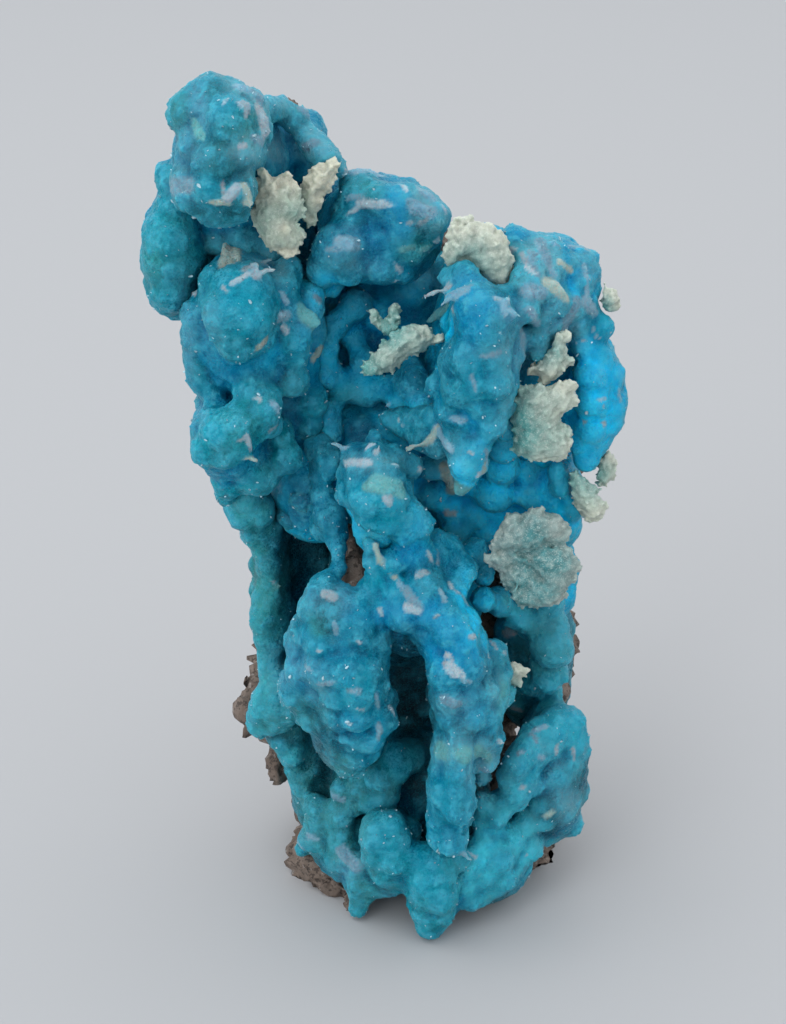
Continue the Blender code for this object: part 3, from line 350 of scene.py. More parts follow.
rock_places, rock_radii = seen(*ROCK_LUMPS[:, 0:3].T), ROCK_LUMPS[:, 3:6] * MM
rock = skin_over("brown_matrix", [ovals(rock_places, rock_radii)], ROCK_VOXEL)
spots = read_points(rock.data)
broken, piece = tilted_facets(spots, ROCK_FACET, 4)
chips = tilted_facets(spots, ROCK_CHIP, 5)[0]
move_points(rock, 0.0005 * swell(spots, 0.003, 1) - 0.0003 + 0.0012 * broken + 0.0006 * chips
            + 0.0002 * swell(spots, 0.0008, 3) + 0.00008 * piece)
rock_finish, place, shader = start_finish("brown_rock", {"Roughness": 0.92})
patches = place.speckle(0.0030, 6.0).steps(0.34, 0.66)
specks = place.speckle(0.0005, 2.0).steps(0.52, 0.62)
pale_grit = place.speckle(0.0008, 3.0).steps(0.60, 0.70)
colour = patches.mixed((0.130, 0.096, 0.076), (0.220, 0.172, 0.143))
colour = (specks * 0.75).mixed(colour, (0.035, 0.026, 0.022))
colour = (pale_grit * 0.6).mixed(colour, (0.36, 0.33, 0.31))
place.tree.links.new(colour.socket, shader.inputs["Base Color"])
grit = place.speckle(0.0004, 6.0)
bump = place.node("ShaderNodeBump", None, {"Strength": 0.7, "Distance": 0.00025, "Height": grit})
place.tree.links.new(bump.socket, shader.inputs["Normal"])
rock.data.materials.append(rock_finish)
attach(rock, "root")
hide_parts("matrix")


# The blue crust: lumps of radiating needles that have grown into one another over the rock. Each
# group of lumps has its own tone and coarseness, and finer knobs cover every lump.
TONES = {
    "head": (0.018, 0.145, 0.175), "left": (0.000, 0.165, 0.210), "teal": (0.000, 0.220, 0.275),
    "green": (0.060, 0.400, 0.460), "cyan": (0.000, 0.175, 0.270), "ridge": (0.000, 0.135, 0.205),
    "azure": (0.000, 0.460, 0.780), "deep": (0.000, 0.180, 0.310), "dusk": (0.002, 0.390, 0.620),
    "grey": (0.050, 0.245, 0.300), "moss": (0.040, 0.320, 0.350), "slope": (0.000, 0.135, 0.200),
    # painted shade: the darkest tone below, for the beds in the recesses behind the fingers and the foot
    "painted_pit_shade": (0.000, 0.055, 0.090), "sky": (0.020, 0.430, 0.620), "shoal": (0.040, 0.420, 0.520),
    # painted glow: a bright blue for the beds behind the ridge and the middle, which lie in shade
    "painted_glow_bed": (0.000, 0.560, 0.900),
}
CRUST = {
    "crown": ([
        (-14.2, 71.2, -1.6, 3.5, 5.4, 5.3),
        (-13.2, 69.5, 3.5, 5.0, 4.6, 6.6),
        (-8.4, 71.2, 6.8, 3.6, 3.0, 3.9),
        (-18.2, 63.0, 2.6, 2.4, 3.4, 5.6),
    ], [
        ("head", 1.1, [
            (-16.6, 75.0, -4.6, 1.7), (-14.6, 75.4, -4.6, 2.0), (-13.0, 75.9, -4.0, 1.6),
            (-13.4, 74.0, -6.2, 2.1), (-11.5, 75.0, -4.4, 1.7), (-16.1, 72.3, -5.0, 1.6),
            (-12.1, 71.6, -6.8, 1.8), (-14.3, 71.0, -7.2, 2.1), (-16.9, 69.4, -5.2, 1.5),
            (-11.2, 73.2, -5.4, 1.4), (-16.6, 68.0, -5.8, 1.5), (-15.1, 68.4, -7.2, 2.0),
            (-13.0, 68.2, -7.0, 2.0), (-14.7, 66.7, -5.8, 1.6), (-12.9, 66.6, -5.2, 1.3),
            (-17.3, 74.4, -3.6, 1.1), (-16.0, 76.0, -3.4, 0.9), (-17.0, 71.4, -3.8, 0.9),
        ]),
        ("teal", 0.9, [
            (-17.9, 69.0, 0.6, 1.9), (-18.0, 66.8, 0.0, 2.0), (-18.6, 64.6, -0.6, 2.5),
            (-18.6, 62.2, -1.0, 2.5), (-18.6, 60.0, -0.4, 2.3), (-19.2, 58.8, -0.4, 1.6),
            (-17.2, 59.2, 0.6, 1.8), (-16.8, 62.4, 1.6, 2.0), (-20.2, 63.2, 0.2, 1.0),
            (-20.0, 60.4, 0.4, 1.0), (-18.4, 57.9, 0.4, 1.0), (-19.0, 70.1, 1.0, 0.8),
        ]),
        ("grey", 0.9, [
            (-10.2, 74.9, 0.4, 1.2), (-9.1, 74.9, 1.4, 1.2), (-7.9, 73.9, 1.6, 1.2),
            (-6.9, 72.7, 1.6, 1.2), (-6.3, 71.9, 0.4, 1.3), (-5.6, 71.1, 0.2, 1.3),
            (-4.6, 70.2, 1.0, 1.1), (-8.6, 71.2, 6.8, 2.0), (-7.6, 69.2, 7.0, 2.0),
            (-12.6, 63.7, 0.6, 2.2), (-10.4, 63.4, 1.4, 1.7), (-14.6, 63.9, 0.8, 1.4),
        ]),
    ]),
    "left": ([
        (-12.6, 56.5, -0.4, 4.4, 5.2, 6.5),
        (-14.2, 46.3, -1.4, 3.3, 5.2, 3.6),
        (-11.0, 52.5, 5.0, 6.4, 5.4, 11.5),
    ], [
        ("left", 0.9, [
            (-13.6, 59.6, -5.2, 1.9), (-12.2, 59.3, -5.6, 1.9), (-13.9, 57.4, -6.2, 2.2),
            (-12.1, 57.2, -6.2, 2.1), (-13.3, 54.8, -6.0, 2.1), (-11.8, 55.3, -5.6, 1.7),
            (-11.2, 58.4, -4.8, 1.6), (-15.1, 60.2, -2.6, 1.4), (-15.4, 58.0, -3.4, 1.6),
            (-16.4, 57.2, -1.8, 1.5), (-16.4, 55.4, -1.4, 1.6), (-16.4, 53.2, -1.6, 1.6),
            (-16.2, 51.4, -1.8, 1.6), (-15.6, 50.4, -2.4, 1.4), (-16.5, 49.2, -0.4, 0.9),
            (-9.3, 59.8, -2.0, 1.8), (-8.7, 61.3, -1.0, 1.3), (-9.2, 57.2, -2.8, 1.9),
            (-8.5, 55.2, -2.8, 1.7), (-8.3, 53.5, -2.6, 1.3), (-7.0, 57.4, -1.2, 1.4),
            (-7.0, 59.0, -0.2, 1.3), (-11.2, 52.5, -3.4, 1.4), (-13.0, 52.2, -2.8, 1.3),
            (-8.6, 51.4, -1.6, 1.6), (-9.9, 53.4, -3.0, 1.0), (-14.6, 52.8, -3.4, 1.2),
        ]),
        ("teal", 0.95, [
            (-15.1, 46.4, -6.4, 2.2), (-16.2, 45.0, -5.0, 1.7), (-14.7, 44.6, -6.2, 1.7),
            (-13.4, 45.4, -6.2, 1.6), (-13.6, 47.4, -6.2, 1.8), (-15.8, 47.7, -4.8, 1.3),
            (-12.3, 50.0, -5.0, 1.7), (-11.1, 48.7, -5.0, 1.6), (-10.7, 50.0, -4.2, 1.0),
            (-12.0, 47.3, -5.0, 1.6), (-10.7, 47.1, -4.0, 1.2), (-9.8, 46.0, -2.0, 1.6),
            (-9.2, 44.2, -2.0, 1.8), (-12.2, 42.4, -3.0, 1.9), (-11.2, 41.9, -3.0, 1.3),
            (-14.4, 42.0, -1.6, 1.6), (-14.7, 41.0, -0.4, 1.1), (-13.0, 43.5, -3.6, 1.1),
            (-6.9, 49.3, 1.4, 1.4), (-7.2, 47.2, 1.8, 1.4), (-16.9, 46.4, -3.6, 1.0),
        ]),
    ]),
    "back": ([
        (-6.8, 66.0, 9.6, 3.4, 3.0, 5.4),
        (-1.0, 64.5, 4.4, 5.6, 5.4, 4.9),
        (-1.0, 54.5, 10.6, 8.0, 4.6, 9.0),
        (2.6, 59.4, 11.0, 3.6, 3.0, 4.6),
    ], [
        ("slope", 0.8, [
            (-3.6, 68.9, 1.8, 1.2), (-2.2, 68.7, 1.8, 1.1), (-3.1, 67.9, 0.8, 1.4),
            (-1.0, 67.4, 0.0, 1.6), (0.6, 67.1, 0.0, 1.8), (2.3, 66.8, 0.0, 1.8),
            (3.4, 65.8, 0.0, 1.4), (-4.0, 66.6, 0.8, 1.3), (-3.5, 65.7, 0.0, 1.4),
            (-1.4, 65.8, 0.0, 1.6), (1.0, 65.1, -0.4, 1.6), (3.1, 64.4, 0.4, 1.4),
            (-4.7, 63.4, -1.0, 2.0), (-3.4, 63.6, -1.8, 1.2), (-2.2, 63.4, 0.0, 1.6),
            (0.0, 63.6, 0.0, 1.5), (1.8, 63.2, 0.6, 1.4), (-5.8, 61.6, 0.0, 1.6),
            (-3.6, 61.6, 0.0, 1.6), (-1.0, 61.8, 0.6, 1.6), (0.8, 61.4, 1.2, 1.2),
            (-6.6, 60.0, 1.0, 1.4), (-5.1, 59.8, 2.0, 1.2), (3.9, 66.6, 0.6, 0.9),
        ]),
        # lumps in the shaded hollow: their blue is raised in brightness as a painted glow
        ("dusk", 0.8, [
            (-3.2, 58.3, 4.2, 1.8), (-4.8, 56.8, 3.6, 1.5), (-5.6, 54.6, 3.0, 1.4),
            (-3.6, 55.6, 5.2, 1.5), (-2.6, 53.4, 4.4, 1.3), (-5.6, 52.2, 2.8, 1.4),
            (-4.2, 50.8, 3.2, 1.5), (-2.3, 50.7, 3.4, 1.6), (-0.5, 51.2, 2.8, 1.4),
            (1.6, 51.4, 1.2, 1.6), (1.6, 53.0, 2.4, 1.2), (0.8, 49.4, 0.8, 1.5),
            (2.5, 49.6, -0.4, 1.3), (-5.6, 48.6, 3.2, 1.3), (-5.4, 46.7, 2.2, 1.3),
            (-1.2, 57.4, 6.2, 1.8), (1.9, 60.0, 8.2, 1.8), (0.8, 55.0, 6.0, 1.7),
        ]),
    ]),
    "ridge": ([
        (7.2, 53.0, -1.6, 2.9, 7.0, 8.6),
        (7.2, 54.0, 6.0, 4.4, 5.4, 9.0),
        (7.4, 62.2, 2.4, 3.2, 4.4, 2.6),
        (12.8, 59.6, 1.8, 4.4, 5.4, 4.6),
        (12.6, 49.2, 4.4, 4.6, 3.8, 7.4),
        (17.0, 50.2, 2.6, 2.8, 4.4, 5.4),
    ], [
        ("ridge", 0.8, [
            (4.8, 60.5, -3.8, 1.1), (6.0, 60.8, -4.6, 1.3), (5.2, 59.2, -5.0, 1.0),
            (7.2, 57.9, -7.6, 1.9), (8.5, 57.3, -7.6, 1.7), (6.6, 56.1, -8.0, 1.7),
            (8.2, 55.6, -8.8, 1.7), (9.5, 55.9, -7.2, 1.4), (9.2, 58.6, -6.0, 1.4),
            (6.5, 53.4, -8.4, 1.9), (8.6, 53.5, -8.8, 1.8), (5.2, 52.8, -6.8, 1.4),
            (7.2, 51.1, -9.0, 1.8), (8.9, 51.3, -8.4, 1.7), (9.3, 49.5, -7.8, 1.5),
            (5.8, 50.4, -8.0, 1.6), (7.6, 48.9, -8.4, 1.6), (5.0, 48.7, -6.4, 1.5),
            (6.1, 47.5, -7.4, 1.3), (8.6, 47.5, -7.4, 1.5), (3.7, 50.8, -4.6, 1.3),
            (3.8, 47.7, -4.2, 1.4), (10.0, 53.4, -5.8, 1.3), (10.2, 55.4, -5.0, 1.3),
            (9.8, 51.4, -6.4, 1.1), (2.6, 47.8, -2.2, 1.4), (1.2, 47.4, -1.4, 1.4),
            (2.4, 45.9, -3.2, 1.4), (3.9, 45.4, -4.6, 1.3), (5.6, 45.5, -7.4, 1.4),
            (7.2, 45.2, -7.8, 1.4), (6.2, 43.6, -7.8, 1.4), (7.4, 43.4, -7.4, 1.1),
            (6.4, 42.0, -7.4, 1.1), (-0.4, 48.0, -0.6, 1.0), (10.0, 49.0, -5.4, 1.2),
        ]),
        ("grey", 1.1, [
            (10.0, 63.9, -0.4, 1.2), (10.7, 62.8, -1.2, 1.3), (12.1, 63.4, -1.0, 1.2),
            (13.5, 62.7, -1.4, 1.2), (14.6, 62.0, -1.2, 1.2), (15.7, 61.6, -0.4, 1.2),
            (16.6, 61.0, 0.2, 1.0), (16.6, 59.7, 0.2, 1.1), (15.5, 60.1, -1.2, 1.2),
            (13.4, 61.0, -3.0, 1.2), (11.9, 61.4, -3.0, 1.4), (10.9, 60.0, -4.2, 1.5),
            (12.6, 59.4, -4.2, 1.3), (13.8, 58.6, -3.6, 1.3), (11.2, 57.9, -5.2, 1.4),
            (12.6, 57.3, -4.4, 1.3), (12.3, 55.4, -4.2, 1.4), (13.6, 56.2, -3.6, 1.1),
            (12.4, 53.8, -3.6, 1.0), (15.2, 58.3, -1.8, 1.2), (16.4, 57.9, -1.2, 1.0),
            (15.8, 56.4, -1.4, 1.1), (16.2, 62.2, 0.6, 0.8),
        ]),
        # the azure flank: its blue is raised in brightness as a painted glow, as if lit through the
        # crust
        ("azure", 0.6, [
            (16.2, 54.4, -1.8, 1.4), (17.7, 53.4, -1.4, 1.5), (18.3, 51.8, -0.8, 1.7),
            (16.9, 51.8, -2.2, 1.6), (17.2, 49.7, -2.2, 1.9), (18.7, 49.2, -0.6, 1.8),
            (18.7, 47.7, -0.4, 1.5), (17.2, 47.2, -1.2, 1.6), (17.7, 46.0, -0.4, 1.4),
            (16.2, 45.6, -0.6, 1.3), (16.9, 44.2, -0.2, 1.3), (17.9, 56.3, -0.6, 1.2),
            (18.9, 50.6, 0.4, 1.2), (17.2, 55.2, -0.6, 1.1),
        ]),
    ]),
    "middle": ([
        (9.0, 42.5, 7.6, 8.2, 4.8, 8.6),
        (-1.2, 40.4, -1.8, 2.7, 6.4, 4.8),
        (-2.0, 44.0, 6.4, 6.4, 5.0, 6.4),
        (-7.0, 42.0, 5.0, 4.0, 5.6, 6.0),
        (13.2, 33.0, 4.8, 3.6, 3.8, 5.4),
        (14.6, 40.0, 3.2, 2.2, 4.0, 4.6),
    ], [
        # the middle's lumps in shade: their blue is raised in brightness as a painted glow
        ("sky", 0.75, [
            (4.6, 43.8, 2.0, 1.6), (3.3, 42.8, 0.8, 1.4), (5.4, 41.8, 2.6, 1.6),
            (3.2, 40.2, 2.6, 1.4), (5.0, 39.2, 3.2, 1.7), (7.2, 38.5, 3.2, 1.8),
            (9.0, 40.6, 1.6, 1.9), (9.6, 43.0, 0.0, 1.8), (9.6, 45.2, -1.4, 1.6),
            (11.6, 42.8, 1.6, 1.6), (12.0, 40.7, 2.2, 1.6), (8.2, 36.8, 3.6, 1.6),
            (5.5, 37.2, 3.6, 1.5), (14.5, 42.6, -0.8, 1.2), (14.8, 41.3, -0.4, 1.1),
            (16.0, 39.3, -0.2, 1.2), (15.4, 37.2, 0.6, 1.1), (9.8, 47.2, -3.2, 1.4),
            (7.6, 41.2, 2.8, 1.5), (15.2, 33.8, 1.4, 1.2),
        ]),
    ]),
    "fingers": ([
        (1.4, 30.4, -1.4, 4.8, 6.8, 4.6),
        (1.0, 31.0, 6.8, 8.0, 5.4, 8.0),
        (-5.0, 22.2, -4.6, 3.3, 6.6, 9.2),
        (6.2, 20.6, -5.2, 2.6, 6.0, 8.6),
        (5.6, 9.2, -7.6, 1.3, 3.8, 6.2),
    ], [
        ("cyan", 0.9, [
            (-1.6, 45.9, -3.8, 0.9), (-3.2, 43.8, -5.4, 1.4), (-1.6, 44.0, -6.4, 1.5),
            (0.0, 43.8, -5.6, 1.4), (1.5, 43.2, -4.4, 1.3), (-4.0, 42.4, -5.0, 1.3),
            (-2.6, 42.2, -7.4, 1.7), (-0.6, 42.0, -7.8, 1.5), (-3.8, 40.6, -6.2, 1.5),
            (-2.2, 40.1, -8.4, 1.9), (-0.2, 40.1, -8.4, 1.7), (-2.3, 38.5, -8.2, 1.7),
            (-0.6, 38.1, -8.4, 1.7), (1.2, 38.7, -7.4, 1.5), (2.3, 37.9, -6.4, 1.3),
            (2.4, 37.0, -6.0, 1.1), (0.8, 37.0, -7.4, 1.3), (-6.4, 44.6, 0.0, 1.4),
            (-5.5, 43.2, -1.2, 1.4), (-6.5, 42.2, -0.6, 1.2), (-6.1, 40.3, -1.2, 1.5),
            (-5.5, 38.6, -1.8, 1.6), (-6.4, 37.5, -1.2, 1.4), (-5.1, 36.8, -2.4, 1.2),
            (-9.0, 38.7, 2.2, 1.5), (-8.0, 40.5, 1.4, 1.4), (-4.9, 35.2, -3.8, 0.9),
            (-4.9, 33.6, -4.6, 0.9), (-2.0, 36.0, -7.0, 1.0), (-1.8, 34.4, -7.0, 1.0),
            (1.3, 36.0, -6.6, 1.5), (2.5, 34.8, -6.4, 1.4), (1.4, 34.3, -7.0, 1.5),
            (0.0, 34.2, -7.2, 1.2), (-1.6, 32.8, -6.8, 1.2), (3.9, 33.9, -5.0, 1.5),
            (5.0, 34.8, -3.6, 1.5), (6.3, 33.2, -4.2, 1.5), (7.3, 34.8, -1.2, 1.4),
            (5.7, 31.5, -6.0, 1.5), (-1.9, 31.0, -7.0, 1.5), (0.4, 31.0, -7.6, 1.8),
            (2.8, 31.2, -7.6, 1.8), (-1.2, 29.3, -8.0, 1.7), (1.0, 28.9, -8.2, 1.7),
            (3.3, 29.1, -8.6, 1.8), (5.0, 29.6, -8.0, 1.5), (-3.2, 29.4, -8.2, 1.4),
            (8.2, 32.4, -1.4, 1.4), (3.9, 35.9, -3.4, 1.2),
        ]),
        ("cyan", 0.95, [
            (-6.2, 31.3, -7.0, 1.6), (-4.8, 30.3, -8.0, 1.5), (-7.2, 29.4, -8.0, 1.8),
            (-5.2, 28.5, -9.4, 1.8), (-3.4, 27.7, -9.2, 1.6), (-8.1, 27.4, -7.6, 1.5),
            (-8.5, 25.6, -7.6, 1.7), (-6.6, 26.0, -9.6, 1.8), (-4.4, 25.7, -10.0, 1.8),
            (-2.5, 25.7, -9.6, 1.7), (-1.2, 26.0, -8.2, 1.3), (-8.5, 23.3, -8.0, 2.0),
            (-6.4, 23.1, -10.4, 1.9), (-4.2, 23.1, -10.9, 1.8), (-2.4, 23.3, -10.4, 1.7),
            (-1.2, 23.5, -9.2, 1.2), (-8.8, 21.2, -7.2, 1.8), (-7.1, 20.8, -9.4, 1.9),
            (-5.2, 20.6, -10.9, 1.8), (-3.4, 20.8, -11.2, 1.8), (-1.7, 21.0, -10.4, 1.5),
            (-0.7, 19.8, -9.2, 1.1), (-7.6, 18.5, -7.6, 1.8), (-6.8, 17.7, -8.0, 1.5),
            (-5.2, 18.4, -10.4, 1.7), (-3.4, 18.4, -11.2, 1.8), (-1.8, 18.3, -10.7, 1.5),
            (-0.6, 17.7, -9.6, 1.1), (-5.0, 15.9, -9.6, 1.4), (-3.8, 15.8, -10.5, 1.7),
            (-2.1, 15.9, -10.2, 1.6), (-4.9, 13.7, -9.2, 1.4), (-3.5, 13.8, -10.0, 1.7),
            (-2.1, 14.1, -9.5, 1.3), (-4.4, 12.6, -8.7, 1.2), (-3.6, 12.5, -9.0, 1.1),
        ]),
        ("cyan", 0.9, [
            (5.2, 27.5, -9.4, 1.9), (3.1, 27.2, -8.6, 1.6), (6.6, 27.6, -8.4, 1.4),
            (4.3, 25.2, -9.4, 1.8), (6.2, 25.5, -10.4, 1.9), (7.5, 25.7, -8.4, 1.3),
            (5.0, 23.0, -10.4, 1.8), (6.7, 23.1, -10.9, 1.8), (7.9, 23.3, -9.0, 1.3),
            (4.1, 22.9, -9.0, 1.1), (5.2, 20.5, -10.9, 1.8), (6.9, 20.5, -10.9, 1.8),
            (8.4, 20.9, -9.4, 1.5), (4.3, 19.8, -9.8, 1.1), (5.4, 18.1, -10.9, 1.8),
            (7.3, 18.1, -10.9, 1.8), (8.8, 18.1, -9.4, 1.6), (9.5, 20.3, -7.8, 1.4),
            (9.7, 22.4, -7.0, 1.4), (9.3, 24.4, -6.6, 1.2), (4.7, 16.4, -9.8, 1.2),
            (6.0, 16.2, -10.9, 1.4), (8.1, 15.8, -10.4, 1.6), (8.9, 14.2, -9.6, 1.4),
            (9.3, 15.9, -9.0, 1.2), (9.0, 13.3, -9.2, 1.1), (4.6, 14.2, -11.0, 1.4),
            (6.1, 14.3, -12.0, 1.5), (7.0, 14.5, -11.2, 1.1), (4.6, 12.4, -11.0, 1.4),
            (6.1, 12.4, -12.3, 1.6), (7.1, 12.3, -11.2, 0.9), (4.9, 10.3, -11.4, 1.6),
            (6.2, 10.4, -12.4, 1.6), (7.1, 10.2, -11.2, 0.9), (4.9, 8.3, -11.4, 1.6),
            (6.2, 8.4, -12.4, 1.6), (7.1, 8.2, -11.2, 0.9), (4.7, 6.3, -11.4, 1.6),
            (6.1, 6.5, -12.2, 1.5), (4.7, 4.8, -11.0, 1.4), (5.8, 4.8, -11.7, 1.5),
            (8.0, 13.2, -6.0, 1.2), (8.4, 11.4, -5.4, 1.1), (10.2, 20.4, -5.0, 1.3),
        ]),
    ]),
    "foot": ([
        (-8.6, 34.5, 10.6, 3.8, 3.4, 9.0),
        (0.8, 21.0, 8.0, 8.0, 4.6, 12.0),
        (3.0, 9.6, 1.6, 6.6, 4.2, 7.4),
        (-0.4, 3.2, -4.8, 2.0, 4.2, 4.4),
        (3.9, -1.6, -6.6, 1.7, 3.4, 4.6),
        (-10.8, 31.0, 5.6, 1.6, 4.6, 12.5),
        (-9.8, 19.5, 4.2, 2.8, 4.4, 5.4),
        (-7.2, 13.5, 5.4, 2.9, 4.4, 8.5),
        (0.5, 8.0, 3.0, 8.0, 5.4, 9.5),
        (12.8, 24.5, 8.2, 4.2, 3.6, 8.4),
        (14.8, 12.4, 1.2, 3.6, 5.4, 7.6),
        (9.4, 3.2, -1.4, 3.9, 5.4, 4.6),
        (-4.4, 4.2, -0.2, 3.4, 4.6, 3.2),
    ], [
        ("teal", 0.95, [
            (-1.6, 6.3, -8.5, 1.6), (-0.1, 6.5, -9.0, 1.6), (-1.9, 4.7, -9.0, 1.6),
            (-0.3, 4.6, -9.4, 1.7), (0.7, 5.0, -8.8, 1.2), (-1.5, 2.7, -8.8, 1.6),
            (0.1, 2.6, -9.4, 1.7), (-0.8, 0.9, -8.4, 1.6), (0.8, 0.6, -8.8, 1.6),
            (0.2, -0.6, -8.0, 1.3), (2.6, 2.1, -9.4, 1.5), (4.1, 1.9, -9.9, 1.4),
            (3.0, 0.3, -9.9, 1.7), (4.5, 0.3, -10.2, 1.6), (3.0, -1.7, -9.9, 1.7),
            (4.7, -1.7, -10.2, 1.7), (3.2, -3.7, -9.4, 1.7), (4.7, -3.7, -9.5, 1.6),
            (5.3, -2.5, -9.2, 1.2), (3.6, -5.1, -8.8, 1.5), (4.6, -5.0, -8.8, 1.3),
            (1.7, 4.9, -5.4, 1.2), (6.6, 2.6, -8.6, 1.0),
            (3.0, -4.0, -9.8, 1.3), (5.1, -4.0, -9.9, 1.3),
        ]),
        ("teal", 0.9, [
            (-5.0, 10.2, -3.4, 1.2), (-3.3, 10.6, -3.4, 1.4), (-2.0, 9.2, -3.8, 1.5),
            (-0.7, 10.0, -3.6, 1.4), (-5.0, 7.4, -3.4, 1.7), (-3.8, 8.4, -3.8, 1.2),
            (-1.4, 11.8, -4.0, 1.3), (0.3, 12.6, -3.2, 1.4), (1.6, 13.6, -2.2, 1.6),
            (0.2, 14.2, -3.0, 1.3), (-7.4, 8.2, -2.2, 1.5), (-7.2, 6.0, -2.6, 1.6),
            (-8.2, 4.6, -2.2, 1.1), (-8.9, 2.9, -1.2, 0.9), (-7.2, 3.8, -3.2, 1.2),
            (-5.4, 3.8, -4.2, 1.3), (-4.4, 2.8, -5.2, 1.2), (-3.4, 1.5, -6.2, 1.2),
            (-5.4, 1.8, -4.8, 1.2), (-3.6, -0.4, -6.4, 1.2), (-3.6, -2.2, -6.4, 0.9),
            (-3.3, -3.4, -6.2, 0.9), (-2.2, -0.4, -6.6, 1.2), (-1.4, -1.2, -6.6, 1.1),
            (1.2, 17.0, 3.4, 1.8), (-5.2, 5.4, -3.8, 1.3),
            (-2.6, -1.9, -6.0, 1.1), (-4.1, -1.2, -5.6, 0.9), (-3.4, 5.6, -2.6, 1.4),
        ]),
        ("moss", 0.9, [
            (-14.0, 39.3, 1.2, 1.1), (-13.5, 38.2, 0.8, 1.2), (-13.0, 40.2, -0.2, 1.5),
            (-11.6, 39.0, 1.2, 1.3), (-12.6, 36.6, 1.8, 1.3), (-11.9, 35.0, 2.2, 1.1),
            (-11.5, 37.4, 2.4, 1.2), (-11.5, 33.4, 2.4, 1.0), (-10.9, 32.0, 2.4, 1.2),
            (-11.3, 30.5, 2.0, 1.1), (-10.6, 30.2, 2.4, 1.2), (-11.8, 28.2, 0.8, 1.4),
            (-10.8, 27.8, 1.4, 1.4), (-11.6, 26.3, 0.4, 1.3), (-10.7, 26.0, 0.8, 1.3),
            (-11.5, 24.3, 0.0, 1.3), (-11.3, 23.0, -0.2, 1.4), (-10.6, 22.0, -1.0, 1.4),
            (-11.6, 21.6, -0.2, 1.0), (-12.2, 20.2, -0.8, 1.2), (-12.4, 18.6, -0.8, 1.4),
            (-12.8, 17.0, -0.4, 1.1), (-10.9, 19.4, -1.6, 1.9), (-10.5, 17.7, -1.6, 1.7),
            (-9.4, 18.6, -2.0, 1.6), (-11.6, 17.0, -1.0, 1.2), (-10.6, 15.2, 0.2, 1.3),
            (-9.9, 13.6, 0.4, 1.2), (-9.3, 12.2, 1.0, 1.1), (-9.3, 14.4, 0.8, 1.4),
            (-8.7, 10.4, 0.6, 1.1), (-8.2, 12.2, 1.4, 1.2), (-8.0, 8.8, -0.4, 1.0),
        ]),
        ("green", 0.9, [
            (14.5, 29.6, 0.4, 1.5), (13.0, 27.8, 1.4, 1.5), (11.4, 28.8, 1.8, 1.4),
            (9.6, 29.8, -0.2, 1.4), (8.2, 30.4, -2.0, 1.3), (15.0, 27.6, 1.2, 1.2),
            (12.2, 26.9, 2.4, 1.2), (14.4, 25.5, 0.4, 1.8), (15.3, 25.2, 0.8, 1.5),
            (14.2, 22.2, 1.4, 1.5), (15.2, 22.8, 1.8, 1.2), (15.0, 20.9, 2.6, 0.9),
            (13.4, 24.0, 2.4, 1.2), (12.6, 21.6, 2.8, 1.2),
        ]),
        ("shoal", 0.95, [
            (16.2, 17.2, -1.2, 1.8), (16.9, 15.6, -1.2, 1.8), (15.1, 16.7, -2.2, 1.7),
            (16.9, 17.8, -0.6, 1.2), (13.6, 16.6, -3.2, 1.3), (14.6, 14.9, -3.2, 1.5),
            (16.4, 13.7, -1.2, 1.5), (12.6, 16.6, -2.6, 1.1), (12.4, 14.2, -5.2, 1.5),
            (13.4, 13.4, -4.6, 1.2), (11.6, 13.0, -5.6, 1.5), (11.0, 11.4, -5.6, 1.5),
            (12.5, 11.6, -5.2, 1.4), (11.6, 9.7, -5.6, 1.5), (10.4, 8.4, -5.6, 1.5),
            (10.0, 7.5, -5.6, 1.2), (12.0, 8.6, -5.0, 1.1), (13.2, 10.6, -4.2, 1.1),
            (15.3, 12.1, -2.2, 1.6), (16.4, 11.7, -1.2, 1.2), (15.5, 9.7, -2.2, 1.6),
            (14.2, 9.0, -3.0, 1.3), (16.4, 9.5, -0.8, 1.1), (17.0, 7.8, 0.2, 1.1),
            (17.4, 6.4, 0.6, 1.0), (16.3, 7.0, -0.6, 1.3), (14.4, 7.0, -3.0, 1.3),
            (12.8, 6.4, -3.6, 1.3), (15.8, 5.4, -0.2, 1.1), (14.7, 4.9, -1.6, 1.2),
            (9.6, 5.2, -5.6, 1.5), (11.4, 4.6, -5.0, 1.5), (13.1, 3.8, -3.6, 1.4),
            (8.4, 3.2, -7.0, 1.4), (10.2, 2.8, -6.2, 1.6), (11.9, 2.2, -5.0, 1.5),
            (12.7, 1.2, -3.8, 1.2), (7.2, 1.4, -8.0, 1.4), (9.0, 0.8, -7.0, 1.6),
            (10.8, 0.4, -6.0, 1.4), (11.7, 0.1, -5.0, 1.1), (7.0, -0.8, -8.0, 1.3),
            (8.7, -1.3, -7.0, 1.5), (9.7, -0.9, -6.2, 1.2), (7.5, -2.5, -7.6, 1.3),
            (8.6, -2.6, -7.2, 1.1), (17.7, 14.6, -0.4, 0.9), (17.2, 12.4, 0.2, 0.8),
            (8.4, 8.8, -5.6, 1.3), (8.3, 6.8, -5.6, 1.2),
        ]),
    ]),
}
